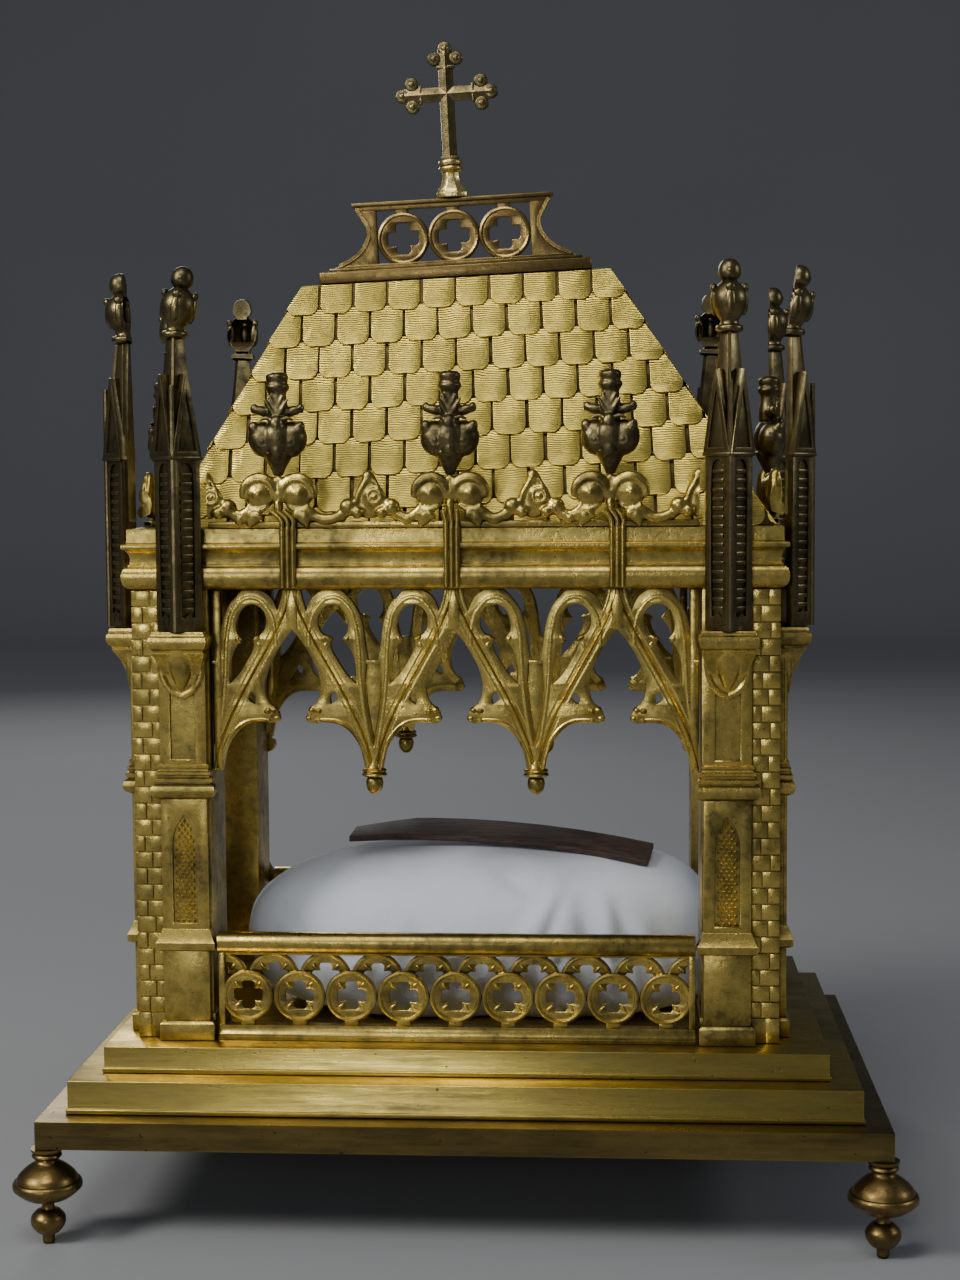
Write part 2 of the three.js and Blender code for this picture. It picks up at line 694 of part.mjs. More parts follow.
function makeRidgeCrest() {
  const foot = box(-64.6, 64.6, -CREST_RAIL_DEPTH, CREST_RAIL_DEPTH, CREST_FOOT, CREST_FOOT + 3);
  const rail = box(-51.4, 51.4, -CREST_RAIL_DEPTH, CREST_RAIL_DEPTH, CREST_TOP - 4, CREST_TOP);
  const rings = [-1, 0, 1].map((i) => makeCrestRing(i * (2 * CREST_RING_R - 0.8)));
  const brackets = [bracketOutline(), mirrored(bracketOutline())];
  return join(foot, rail, rings, brackets.map((outline) => plate(outline, -CREST_DEPTH, CREST_DEPTH)));
}

const PEDESTAL_HEIGHT = 18.6;

function makePedestal() {
  const z = CREST_TOP + GAP;
  return turned([
    [0, z],
    [8.4, z],
    [8.4, z + 4.4],
    [5.4, z + 8.4],
    [4.2, z + 14],
    [6.2, z + 16],
    [6.2, z + PEDESTAL_HEIGHT],
    [0, z + PEDESTAL_HEIGHT],
  ], 8);
}

const CROSS_FOOT = CREST_TOP + GAP + PEDESTAL_HEIGHT + GAP;
const CROSS_CENTRE = CROSS_FOOT + 33;
const CROSS_ARM = 26;                  // crossing to the tip of each arm
const CROSS_BAR = 3.7;                 // half width of the bars
const LOBE = 3.4;

const CROSS_DEPTH = 2.2;

// One budded arm that points up from the crossing.
function makeArm() {
  const tip = CROSS_ARM - LOBE;
  const lobes = [[0, tip], [5.8, tip - 5], [-5.8, tip - 5]];
  const pads = lobes.map(([x, z]) => plate(arc(x, z, LOBE, 30, 330, 5), -2, 2));
  return join(box(-CROSS_BAR, CROSS_BAR, -CROSS_DEPTH, CROSS_DEPTH, 0, tip), pads);
}

function makeCross() {
  const arms = [-90, 0, 90].map((turn) => makeArm().rotate([0, turn, 0]).translate([0, 0, CROSS_CENTRE]));
  const shaft = box(-CROSS_BAR, CROSS_BAR, -CROSS_DEPTH, CROSS_DEPTH, CROSS_FOOT, CROSS_CENTRE + 1);
  return join(shaft, arms);
}

place(roof, 'roof', makeRoof(), paleGilt);
place(roof, 'ridge_slab', tapered(RIDGE_SLAB, RIDGE_SLAB, SLAB_Z, SLAB_Z + RIDGE_SLAB.height), wornBrass);
place(roof, 'ridge_crest', makeRidgeCrest(), wornBrass);
place(roof, 'cross_pedestal', makePedestal(), paleGilt);
place(roof, 'cross', makeCross(), darkBronze);

// ---- cushion and relic ----------------------------------------------------------------------------

const CUSHION = { halfX: 128, halfY: 66, height: 83 };
const CUSHION_SEAT = 6;                // how far its underside is pressed flat
const CUSHION_X = 7;

// A superellipsoid: small powers make its crown broad. Its right end is plumper than its left one.
function makeCushion() {
  const geometry = new THREE.SphereGeometry(1, 20, 8);
  const points = geometry.attributes.position;
  const swell = (value, power) => Math.sign(value) * Math.abs(value) ** power;
  const halfHeight = (CUSHION.height + CUSHION_SEAT) / 2;
  for (let i = 0; i < points.count; i += 1) {
    const rise = points.getY(i);
    const ring = Math.sqrt(Math.max(0, 1 - rise * rise));
    const angle = Math.atan2(points.getZ(i), points.getX(i));
    const along = Math.cos(angle);
    points.setX(i, CUSHION.halfX * ring ** (along > 0 ? 0.35 : 0.67) * swell(along, 0.77));
    points.setY(i, -CUSHION.halfY * ring ** 0.6 * swell(Math.sin(angle), 0.77));
    points.setZ(i, halfHeight * swell(rise, 0.9));
  }
  geometry.translate(0, 0, PIER_BOTTOM + CUSHION.height - halfHeight);
  return cut(solid(geometry), box(-200, 200, -200, 200, PIER_BOTTOM - 20, PIER_BOTTOM));
}

const CUSHION_TOP = PIER_BOTTOM + CUSHION.height;
const RELIC = { length: 156, width: 26, thickness: 3.2, rise: 5.6 };
const RELIC_X = 18;
const RELIC_Y = -4;
const RELIC_LIFT = 3.4;                // its bowed middle stands clear of the cushion's crown
const RELIC_TILT = THREE.MathUtils.degToRad(11);       // its face looks a little forwards
const RELIC_DIP = THREE.MathUtils.degToRad(1.6);       // its right end hangs lower than the left one
const RELIC_TURN = THREE.MathUtils.degToRad(-8);

// A thin slat, bowed along its length, lying across the crown of the cushion. Its left end narrows.
// The margin grows its underside and edges, and the headroom its upper face, for the bed it presses.
function makeSlat(margin, headroom) {
  const half = RELIC.length / 2 + margin;
  const reach = RELIC.width / 2 + margin;
  const steps = 8;
  const upper = [];
  const lower = [];
  for (let i = 0; i <= steps; i += 1) {
    const share = 2 * i / steps - 1;
    const z = -RELIC.rise * share * share;
    upper.push([share * half, z + RELIC.thickness + headroom]);
    lower.push([share * half, z - margin]);
  }
  const corner = box(-60, 0, 0, 40, -20, 40).rotate([0, 0, 20]);
  return cut(plate([...lower, ...upper.reverse()], -reach, reach), corner.translate([-half + 30, reach, 0]));
}

const relic = place(chapel, 'relic_slat', makeSlat(0, 0), darkWood);
relic.position.set(RELIC_X, RELIC_Y, CUSHION_TOP + RELIC_LIFT);
relic.rotation.set(RELIC_TILT, RELIC_DIP, RELIC_TURN);
relic.updateMatrix();

const toCushion = new THREE.Matrix4().makeTranslation(-CUSHION_X, 0, 0).multiply(relic.matrix);
const bed = makeSlat(GAP, 12).transform(toCushion.elements);
const cushion = place(chapel, 'cushion', cut(makeCushion(), bed), whiteCotton);
cushion.position.x = CUSHION_X;

export default reliquary;
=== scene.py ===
# Looks for a chapel-shaped reliquary in gilt brass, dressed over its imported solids.
# Pieces are drawn in millimetres in the frame of the chapel face that they stand on, and set down in metres.
import math
import random

import bpy
from mathutils import Matrix, Vector


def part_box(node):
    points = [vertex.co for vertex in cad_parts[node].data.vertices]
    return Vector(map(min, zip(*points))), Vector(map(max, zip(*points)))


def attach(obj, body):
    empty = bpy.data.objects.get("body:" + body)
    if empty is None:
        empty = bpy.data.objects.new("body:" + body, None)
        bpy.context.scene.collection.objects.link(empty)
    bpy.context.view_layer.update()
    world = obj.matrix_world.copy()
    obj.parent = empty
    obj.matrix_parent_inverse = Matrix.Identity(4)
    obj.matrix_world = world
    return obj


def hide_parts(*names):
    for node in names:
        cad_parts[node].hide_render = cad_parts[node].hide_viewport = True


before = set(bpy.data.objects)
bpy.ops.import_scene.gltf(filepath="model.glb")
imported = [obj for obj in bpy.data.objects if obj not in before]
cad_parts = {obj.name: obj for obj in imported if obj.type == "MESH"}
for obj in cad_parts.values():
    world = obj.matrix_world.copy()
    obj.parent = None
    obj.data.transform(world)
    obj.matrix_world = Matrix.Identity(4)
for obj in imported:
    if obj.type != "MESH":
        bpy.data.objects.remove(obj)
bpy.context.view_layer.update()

# ---- room: camera, floor and lamps ----------------------------------------------------------------
# The camera stands a step in front of the long side, a little to its right and level with the roof's
# foot. The floor is a grey sheet that curves up far behind, lit by soft boxes from all round and above.

CAMERA_PLACE = (0.0721, -1.0539, 0.3580)
CAMERA_YAW = 0.0655
CAMERA_PITCH = 0.0771
CAMERA_ROLL = -0.0065
FLOOR_SIZE = (14, 8)
FLOOR_SHIFT = -0.6
CURVE_STEPS = 10
CURVE_STEP = 0.16
BACKDROP_RISE = 5
LAMP_AIM = Vector((0, 0, 0.28))

bpy.ops.object.camera_add(location=CAMERA_PLACE)
camera = bpy.context.object
camera.name = "camera"
camera.data.sensor_fit = "VERTICAL"
camera.data.sensor_height = 36
camera.data.lens = 57.62
turn = Matrix.Rotation(CAMERA_YAW, 4, "Z") @ Matrix.Rotation(math.pi / 2 - CAMERA_PITCH, 4, "X")
camera.matrix_world = Matrix.Translation(CAMERA_PLACE) @ turn @ Matrix.Rotation(CAMERA_ROLL, 4, "Z")
bpy.context.scene.camera = camera


def deselect():
    """Nothing is selected or active, so the next operator acts on what it makes."""
    bpy.ops.object.select_all(action="DESELECT")
    bpy.context.view_layer.objects.active = None


deselect()
bpy.ops.mesh.primitive_plane_add(size=1)
floor = bpy.context.object
floor.name = "floor"
floor.data.transform(Matrix.Translation((0, FLOOR_SHIFT, 0)) @ Matrix.Diagonal((*FLOOR_SIZE, 1, 1)))
bpy.ops.object.mode_set(mode="EDIT")
bpy.ops.mesh.select_all(action="DESELECT")
bpy.ops.object.mode_set(mode="OBJECT")
for edge in floor.data.edges:
    edge.select = all(floor.data.vertices[i].co.y > 3 for i in edge.vertices)
bpy.ops.object.mode_set(mode="EDIT")
for step in range(CURVE_STEPS):
    angle = math.radians(90 * (step + 0.5) / CURVE_STEPS)
    move = (0, CURVE_STEP * math.cos(angle), CURVE_STEP * math.sin(angle))
    bpy.ops.mesh.extrude_edges_move(TRANSFORM_OT_translate={"value": move})
bpy.ops.mesh.extrude_edges_move(TRANSFORM_OT_translate={"value": (0, 0, BACKDROP_RISE)})
bpy.ops.object.mode_set(mode="OBJECT")
bpy.ops.object.shade_smooth()

# Name, place, size, watts, colour. Each lamp looks at the middle of the object.
LAMPS = [
    ("window_left", (-1.45, -1.15, 1.45), 0.7, 26, (1.0, 0.98, 0.93)),
    ("box_roof", (-0.20, -0.98, 1.72), 0.8, 9, (1.0, 0.99, 0.95)),
    ("box_front", (-0.5, -2.3, 0.7), 0.6, 6, (0.90, 0.94, 1.0)),
    ("strip_right", (1.6, -0.2, 0.9), 0.35, 3, (0.90, 0.94, 1.0)),
    ("box_back", (-0.7, 2.0, 1.2), 0.8, 9, (1.0, 0.98, 0.95)),
]
for name, place, size, watts, colour in LAMPS:
    bpy.ops.object.light_add(type="AREA", location=place)
    lamp = bpy.context.object
    lamp.name = name
    lamp.data.shape = "DISK"
    lamp.data.size = size
    lamp.data.energy = watts
    lamp.data.color = colour
    lamp.rotation_euler = (LAMP_AIM - Vector(place)).to_track_quat("-Z", "Y").to_euler()

world = bpy.data.worlds.new("studio")
world.use_nodes = True
world.node_tree.nodes["Background"].inputs["Color"].default_value = (0.50, 0.54, 0.62, 1)
world.node_tree.nodes["Background"].inputs["Strength"].default_value = 0.20
bpy.context.scene.world = world


class Field:
    """A number or colour that varies over a surface. Operators on it add Math nodes."""

    def __init__(self, finish, socket):
        self.finish = finish
        self.socket = socket

    def maths(self, operation, first, second=0.0):
        return self.finish.node("Math", {"operation": operation}, {0: first, 1: second})

    def __add__(self, other):
        return self.maths("ADD", self, other)

    __radd__ = __add__

    def __sub__(self, other):
        return self.maths("SUBTRACT", self, other)

    def __rsub__(self, other):
        return self.maths("SUBTRACT", other, self)

    def __mul__(self, other):
        return self.maths("MULTIPLY", self, other)

    __rmul__ = __mul__

    def clamped(self):
        return self.finish.node("Clamp", {}, {"Value": self})

    def sine(self):
        return self.maths("SINE", self)

    def between(self, low, high):
        """0 where the number is under low, 1 where it is over high, with a smooth step between."""
        return self.finish.node(
            "MapRange", {"interpolation_type": "SMOOTHSTEP"},
            {"Value": self, "From Min": low, "From Max": high})


class Finish:
    """A material whose nodes are added one call at a time."""

    def __init__(self, name):
        self.material = bpy.data.materials.new(name)
        self.material.use_nodes = True
        self.tree = self.material.node_tree
        self.shader = self.tree.nodes["Principled BSDF"]

    def feed(self, socket, value):
        if isinstance(value, Field):
            self.tree.links.new(value.socket, socket)
        else:
            socket.default_value = value

    def node(self, kind, settings, sockets, out=0):
        made = self.tree.nodes.new("ShaderNode" + kind)
        for key, value in settings.items():
            setattr(made, key, value)
        for key, value in sockets.items():
            self.feed(made.inputs[key], value)
        return Field(self, made.outputs[out])

    def blend(self, first, second, share):
        return self.node("Mix", {"data_type": "RGBA"}, {0: share, 6: first, 7: second}, out=2)

    def coords(self, stretch=(1, 1, 1), turn=(0, 0, 0)):
        place = self.node("TexCoord", {}, {}, out="Object")
        return self.node("Mapping", {}, {"Vector": place, "Rotation": turn, "Scale": stretch})

    def noise(self, scale, detail=4.0, roughness=0.55, stretch=(1, 1, 1)):
        sockets = {"Vector": self.coords(stretch), "Scale": scale, "Detail": detail, "Roughness": roughness}
        return self.node("TexNoise", {}, sockets)

    def hollow(self, reach):
        """High in corners and gaps, seen from up to this far off."""
        return 1 - self.node("AmbientOcclusion", {"samples": 5, "inside": False}, {"Distance": reach}, out=1)

    def edge(self, reach):
        """High along the edges that stick out."""
        settings = {"samples": 4, "inside": True, "only_local": True}
        return 1 - self.node("AmbientOcclusion", settings, {"Distance": reach}, out=1)

    def set(self, **sockets):
        for key, value in sockets.items():
            self.feed(self.shader.inputs[key.replace("_", " ")], value)
        return self.material


backdrop = Finish("grey_paper")
cloud = backdrop.noise(1.2, detail=2)
paper = backdrop.blend((0.27, 0.275, 0.29, 1), (0.32, 0.325, 0.335, 1), cloud)
floor.data.materials.append(backdrop.set(Base_Color=paper, Roughness=0.9))

# ---- feet -----------------------------------------------------------------------------------------
# Four turned brass feet under the slab's corners: a bun with a double rim over a small ball and a blunt
# tip. They are lathe work, darkened by handling, and screw up into the blocks of the slab.

MM = Matrix.Scale(0.001, 4)


def alone(*pieces):
    """Only these pieces are selected, and the first of them is active."""
    deselect()
    for piece in pieces:
        piece.select_set(True)
    bpy.context.view_layer.objects.active = pieces[0]


def applied(piece):
    """The piece with its modifiers made part of its mesh."""
    alone(piece)
    for modifier in list(piece.modifiers):
        bpy.ops.object.modifier_apply(modifier=modifier.name)
    return piece


def copied(piece, matrix):
    """A copy with its own mesh, moved by the matrix."""
    twin = bpy.data.objects.new(piece.name, piece.data.copy())
    bpy.context.collection.objects.link(twin)
    twin.data.transform(matrix)
    if matrix.determinant() < 0:
        twin.data.flip_normals()
    return twin


def joined(pieces):
    alone(*pieces)
    if len(pieces) > 1:
        bpy.ops.object.join()
    return pieces[0]


def settled(pieces, matrix, material, slot, *nodes, angle=32):
    """Joins the pieces and lets them stand for solids. With no material, each keeps its own."""
    piece = joined(pieces)
    piece.data.transform(matrix)
    piece.name = "dressed_" + nodes[0]
    piece.data.name = piece.name
    if material:
        piece.data.materials.clear()
        piece.data.materials.append(material)
    alone(piece)
    bpy.ops.object.shade_smooth_by_angle(angle=math.radians(angle))
    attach(piece, "root")
    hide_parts(*nodes)
    return piece


def flowing(points, steps=3):
    """Points on a smooth line through the given ones."""
    ends = [points[0], *points, points[-1]]
    line = [points[0]]
    for before, first, last, after in zip(ends, ends[1:], ends[2:], ends[3:]):
        for step in range(1, steps + 1):
            t = step / steps
            line.append(tuple(
                0.5 * (2 * b + (c - a) * t + (2 * a - 5 * b + 4 * c - d) * t * t
                       + (3 * b - a - 3 * c + d) * t ** 3)
                for a, b, c, d in zip(before, first, last, after)))
    return line


def drawn_up(levels, sides=4, x=0.0, y=0.0, turn=None):
    """A face drawn upwards ring by ring. Each level is (half width, half depth, height)."""
    wide, deep, low = levels[0]
    reach = math.sqrt(2) if sides == 4 and turn is None else 1
    deselect()
    bpy.ops.mesh.primitive_circle_add(vertices=sides, radius=1, fill_type="NGON")
    piece = bpy.context.object
    spin = math.pi / sides if turn is None else turn
    start = Matrix.Translation((x, y, low)) @ Matrix.Diagonal((wide * reach, deep * reach, 1, 1))
    piece.data.transform(start @ Matrix.Rotation(spin, 4, "Z"))
    bpy.ops.object.mode_set(mode="EDIT")
    for (w0, d0, z0), (w1, d1, z1) in zip(levels, levels[1:]):
        bpy.ops.mesh.extrude_region_move(TRANSFORM_OT_translate={"value": (0, 0, z1 - z0)})
        bpy.ops.transform.resize(value=(w1 / w0, d1 / d0, 1), center_override=(x, y, z1))
    bpy.ops.mesh.select_all(action="SELECT")
    bpy.ops.mesh.normals_make_consistent(inside=False)
    bpy.ops.object.mode_set(mode="OBJECT")
    return piece


def turned(profile, sides=32, x=0.0, y=0.0):
    """A lathe-turned piece from (radius, height) pairs, foot first."""
    return drawn_up([(r, r, z) for r, z in profile], sides, x, y)


def metal(name, bright, dull, dark, tarnish=0.5, roughness=0.26, cloud_size=30, hollow_reach=0.006):
    """Worn gilding, dull over broad clouds, with painted highlight on its edges and painted shade in its
    hollows.
    """
    skin = Finish(name)
    cloud = skin.noise(cloud_size, detail=5, roughness=0.62)
    mottle = skin.noise(190, detail=5, roughness=0.68)
    grain = skin.noise(1300, detail=2)
    hollow = skin.hollow(hollow_reach)
    edge = skin.edge(0.0009)
    clouds = cloud.between(0.36, 0.66) * 0.62 + mottle.between(0.40, 0.66) * 0.38
    # The hollows add painted shade to the dullness, and the edges take it away as a painted highlight.
    tarnish_and_painted_light = (clouds * 0.9 + (tarnish - 0.5) + hollow * 0.35 - edge * 0.55).clamped()
    body = skin.blend((*bright, 1), (*dull, 1), tarnish_and_painted_light)
    # Painted shade: the hollows are darkened towards the dark colour.
    painted_shade = (hollow.between(0.30, 0.92) * (0.55 + mottle * 0.6)).clamped()
    specks = skin.noise(620, detail=1).between(0.70, 0.76) * 0.6
    base = skin.blend(skin.blend(body, (*dark, 1), painted_shade), (*dark, 1), specks)
    height = grain * 0.35 + mottle * 1.0 + cloud * 1.6
    bump = skin.node("Bump", {}, {"Strength": 0.30, "Distance": 0.0006, "Height": height})
    rough = roughness + tarnish_and_painted_light * 0.16 + painted_shade * 0.20 + (grain - 0.5) * 0.10
    return skin.set(Base_Color=base, Metallic=1.0, Roughness=rough, Normal=bump)


worn_brass = metal(
    "worn_brass", (0.32, 0.215, 0.07), (0.105, 0.074, 0.030), (0.022, 0.017, 0.010), 0.62, 0.28)

foot_profile = [
    *flowing([(2.3, 0), (2.9, 1.2), (2.9, 3.4), (3.5, 5.0)]),
    *flowing([(5.2, 5.5), (7.5, 8.2), (8.3, 10.8), (7.8, 13.4), (5.4, 16.0)]),
    *flowing([(3.3, 16.8), (2.9, 18.4), (3.5, 20.4)]),
    *flowing([(6.0, 21.0), (10.6, 22.4), (14.4, 25.2)]),
    *flowing([(14.8, 25.7), (16.2, 27.0), (16.3, 29.2), (15.5, 30.5)]),
    *flowing([(14.6, 30.8), (13.2, 33.6), (9.2, 37.2), (5.9, 39.3), (5.1, 40.9)]),
    *flowing([(6.4, 41.4), (7.1, 42.4), (6.5, 43.5)]),
    *flowing([(6.1, 43.8), (7.3, 44.7), (7.4, 46.0)]),
]
turned_foot = turned(foot_profile, 40)
for row in ("front", "back"):
    for column in ("left", "right"):
        node = f"foot_{row}_{column}"
        low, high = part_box(node)
        stand = Matrix.Translation(((low.x + high.x) / 2, (low.y + high.y) / 2, low.z)) @ MM
        settled([copied(turned_foot, Matrix())], stand, worn_brass, "worn_brass", node)
bpy.data.objects.remove(turned_foot)

# ---- base -----------------------------------------------------------------------------------------
# A slab and two steps of brass sheet, mitred and soldered, each step with a thin bright bead at its
# foot. Polishing has left long horizontal scratches, and lacquer has gone olive in patches.


def dressed(node, ease=0.4, segments=2):
    """A solid's own shape in millimetres, merged, with its edges eased."""
    piece = bpy.data.objects.new(node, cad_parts[node].data.copy())
    bpy.context.collection.objects.link(piece)
    piece.data.transform(MM.inverted())
    alone(piece)
    bpy.ops.object.mode_set(mode="EDIT")
    bpy.ops.mesh.select_all(action="SELECT")
    bpy.ops.mesh.remove_doubles(threshold=0.002)
    bpy.ops.mesh.dissolve_limited(angle_limit=math.radians(0.5))
    bpy.ops.mesh.select_all(action="DESELECT")
    bpy.ops.object.mode_set(mode="OBJECT")
    return eased(piece, ease, segments)


def eased(piece, ease=0.4, segments=2):
    """The piece with its sharp edges rounded over."""
    modifier = piece.modifiers.new("ease", "BEVEL")
    modifier.width = ease
    modifier.segments = segments
    modifier.limit_method = "ANGLE"
    modifier.angle_limit = math.radians(30)
    return applied(piece)


def sheet_brass(name, bright, dull, dark, tarnish):
    """Rolled and polished sheet: clouds drawn out along it, with fine scratches and small pits."""
    skin = Finish(name)
    cloud = skin.noise(13, detail=6, roughness=0.65, stretch=(0.55, 1, 2.6))
    mottle = skin.noise(120, detail=5, roughness=0.7, stretch=(0.35, 1, 1.6))
    scratch = skin.noise(420, detail=3, roughness=0.7, stretch=(0.03, 0.03, 1))
    grain = skin.noise(1500, detail=2)
    hollow = skin.hollow(0.003)
    edge = skin.edge(0.0008)
    clouds = cloud.between(0.36, 0.64) * 0.6 + mottle.between(0.38, 0.66) * 0.3
    streaks = clouds + scratch.between(0.45, 0.7) * 0.22
    # The hollows add painted shade to the dullness, and the edges take it away as a painted highlight.
    tarnish_and_painted_light = (streaks + (tarnish - 0.5) + hollow * 0.3 - edge * 0.6).clamped()
    pits = skin.noise(330, detail=1).between(0.73, 0.77)
    # Painted shade in the hollows, together with the real pits.
    painted_shade = (hollow.between(0.40, 0.95) * 0.7 + pits * 0.7).clamped()
    base = skin.blend(skin.blend((*bright, 1), (*dull, 1), tarnish_and_painted_light), (*dark, 1), painted_shade)
    height = grain * 0.2 + scratch * 0.55 + cloud * 2.2 + mottle * 0.5 - pits * 1.5
    bump = skin.node("Bump", {}, {"Strength": 0.22, "Distance": 0.0005, "Height": height})
    rough = 0.25 + tarnish_and_painted_light * 0.16 + painted_shade * 0.2 + (scratch - 0.5) * 0.16
    return skin.set(Base_Color=base, Metallic=1.0, Roughness=rough, Normal=bump)


step_gilding = sheet_brass(
    "step_gilding", (0.70, 0.52, 0.115), (0.205, 0.165, 0.058), (0.028, 0.021, 0.011), 0.46)
slab_brass = sheet_brass(
    "slab_brass", (0.30, 0.215, 0.065), (0.115, 0.088, 0.036), (0.020, 0.015, 0.009), 0.55)

settled([dressed("base_slab", 0.5)], MM, slab_brass, "worn_brass", "base_slab")
for node in ("base_lower_step", "base_upper_step"):
    settled([dressed(node, 0.35)], MM, step_gilding, "gilt_brass", node)

# ---- piers ----------------------------------------------------------------------------------------
# Square corner posts cast to look like brickwork. Each course stands a little proud of the core and its
# upright joints step from course to course, over a plain foot block with one joint.

pier_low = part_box("pier_front_left")[0]
pier_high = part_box("pier_back_right")[1]
middle = (pier_low + pier_high) / 2
HALF_X = 1000 * (pier_high.x - middle.x)
HALF_Y = 1000 * (pier_high.y - middle.y)
PIER = 38
CHAPEL_FLOOR = 88.8
PIER_FOOT_TOP = 100.8
PIER_TOP = 307


def face_frame(turn, distance):
    """The place of a chapel face: x runs along it and y = 0 is the outer plane of the piers."""
    stand = Matrix.Translation((middle.x, middle.y, 0)) @ Matrix.Rotation(math.radians(turn), 4, "Z")
    return stand @ Matrix.Translation((0, -distance / 1000, 0)) @ MM


# Name, place, half its width, number of arches, and the ends at its low and high x.
FACES = [
    ("front", face_frame(0, HALF_Y), HALF_X, 3, ("left", "right")),
    ("right", face_frame(90, HALF_X), HALF_Y, 1, ("front", "back")),
    ("back", face_frame(180, HALF_Y), HALF_X, 3, ("right", "left")),
    ("left", face_frame(-90, HALF_X), HALF_Y, 1, ("back", "front")),
]


def block(x0, x1, y0, y1, z0, z1):
    """A squared block between two corners, its edges still sharp."""
    deselect()
    bpy.ops.mesh.primitive_cube_add(size=1)
    piece = bpy.context.object
    size = Matrix.Diagonal((x1 - x0, y1 - y0, z1 - z0, 1))
    piece.data.transform(Matrix.Translation(((x0 + x1) / 2, (y0 + y1) / 2, (z0 + z1) / 2)) @ size)
    return piece


gilt_brass = metal(
    "gilt_brass", (0.74, 0.54, 0.13), (0.150, 0.118, 0.042), (0.022, 0.017, 0.009), 0.60, 0.24)

hand = random.Random(11)
COURSES = 26
course_height = (PIER_TOP - PIER_FOOT_TOP) / COURSES
pier_parts = [
    block(0.8, PIER - 0.8, 0.8, PIER - 0.8, PIER_FOOT_TOP - 1, PIER_TOP),
    block(0, 6.4, 0, 6.4, CHAPEL_FLOOR, PIER_FOOT_TOP),
    block(6.9, PIER, 0, PIER, CHAPEL_FLOOR, PIER_FOOT_TOP),
    block(0, 6.9, 6.9, PIER, CHAPEL_FLOOR, PIER_FOOT_TOP),
    block(0.6, 8, 0.6, 8, CHAPEL_FLOOR, PIER_FOOT_TOP - 0.4),
]
for course in range(COURSES):
    z0 = PIER_FOOT_TOP + course * course_height + 0.35 + hand.uniform(-0.12, 0.12)
    z1 = PIER_FOOT_TOP + (course + 1) * course_height - 0.3 + hand.uniform(-0.12, 0.12)
    joint_x = (8.6 if course % 2 else 5.0) + hand.uniform(-0.7, 0.7)
    joint_y = (5.0 if course % 2 else 8.6) + hand.uniform(-0.7, 0.7)
    proud = hand.uniform(0, 0.22)
    pier_parts.append(block(proud, joint_x, proud, joint_y, z0, z1))
    pier_parts.append(block(joint_x + 0.5, 13.9, hand.uniform(0, 0.22), 3, z0, z1))
    pier_parts.append(block(hand.uniform(0, 0.22), 3, joint_y + 0.5, 13.9, z0, z1))
brick_pier = eased(joined(pier_parts), 0.3, 2)
for turn, node in ((0, "front_left"), (90, "front_right"), (180, "back_right"), (-90, "back_left")):
    half_x, half_y = (HALF_X, HALF_Y) if turn % 180 == 0 else (HALF_Y, HALF_X)
    stand = Matrix.Translation((middle.x, middle.y, 0)) @ Matrix.Rotation(math.radians(turn), 4, "Z")
    corner = stand @ MM @ Matrix.Translation((-half_x, -half_y, 0))
    settled([copied(brick_pier, Matrix())], corner, gilt_brass, "gilt_brass", f"pier_{node}")
bpy.data.objects.remove(brick_pier)

# ---- buttresses -----------------------------------------------------------------------------------
# One cast buttress on each outer face of a pier, pinned from inside: a foot block, a plain stage, a
# weathered sill, a lancet niche with a lattice, a string course, a sunk panel and a corbelled cap.

BUTTRESS_INSET = 25.1
WALL = -0.3


def cut_back(piece, place, direction):
    """Cuts away what lies beyond a plane and closes the cut."""
    alone(piece)
    bpy.ops.object.mode_set(mode="EDIT")
    bpy.ops.mesh.select_all(action="SELECT")
    bpy.ops.mesh.bisect(plane_co=place, plane_no=direction, use_fill=True, clear_outer=True)
    bpy.ops.object.mode_set(mode="OBJECT")
    return piece


def wall_moulding(levels):
    """A moulding that returns to the wall at both ends. Each level is (half width, projection, height)."""
    rings = [(half, out + WALL, z) for half, out, z in levels]
    return cut_back(drawn_up(rings, 4, 0, WALL), (0, WALL, 0), (0, 1, 0))


def drawn(points, closed=True):
    """A flat line through (x, z) points. A third value of 0 marks a sharp corner."""
    deselect()
    bpy.ops.curve.primitive_bezier_curve_add()
    line = bpy.context.object
    line.data.dimensions = "2D"
    line.data.fill_mode = "NONE"
    line.data.resolution_u = 5
    line.data.splines.clear()
    stroke(line, points, closed)
    return line


def stroke(line, points, closed=True):
    """Adds one more line to a flat drawing."""
    spline = line.data.splines.new("BEZIER")
    spline.bezier_points.add(len(points) - 1)
    spline.use_cyclic_u = closed
    for knot, point in zip(spline.bezier_points, points):
        knot.co = (point[0], point[1], 0)
        kind = "VECTOR" if len(point) > 2 else "AUTO"
        knot.handle_left_type = kind
        knot.handle_right_type = kind


def plate(outlines, y0, y1, ease=0.35, smooth=5):
    """A flat sheet cut to the first outline and pierced by the others, stood upright."""
    sheet = drawn(outlines[0])
    for outline in outlines[1:]:
        stroke(sheet, outline)
    sheet.data.resolution_u = smooth
    sheet.data.fill_mode = "BOTH"
    sheet.data.extrude = (y1 - y0) / 2 - ease
    sheet.data.bevel_depth = ease
    sheet.data.bevel_resolution = 1
    sheet.data.offset = -ease
    return stood(sheet, (y0 + y1) / 2)


def stood(line, y):
    """Turns a flat drawing into a mesh that stands upright at depth y."""
    alone(line)
    bpy.ops.object.convert(target="MESH")
    piece = bpy.context.object
    piece.data.transform(Matrix.Translation((0, y, 0)) @ Matrix.Rotation(math.pi / 2, 4, "X"))
    alone(piece)
    bpy.ops.object.mode_set(mode="EDIT")
    bpy.ops.mesh.select_all(action="SELECT")
    bpy.ops.mesh.remove_doubles(threshold=0.001)
    bpy.ops.mesh.normals_make_consistent(inside=False)
    bpy.ops.object.mode_set(mode="OBJECT")
    return piece


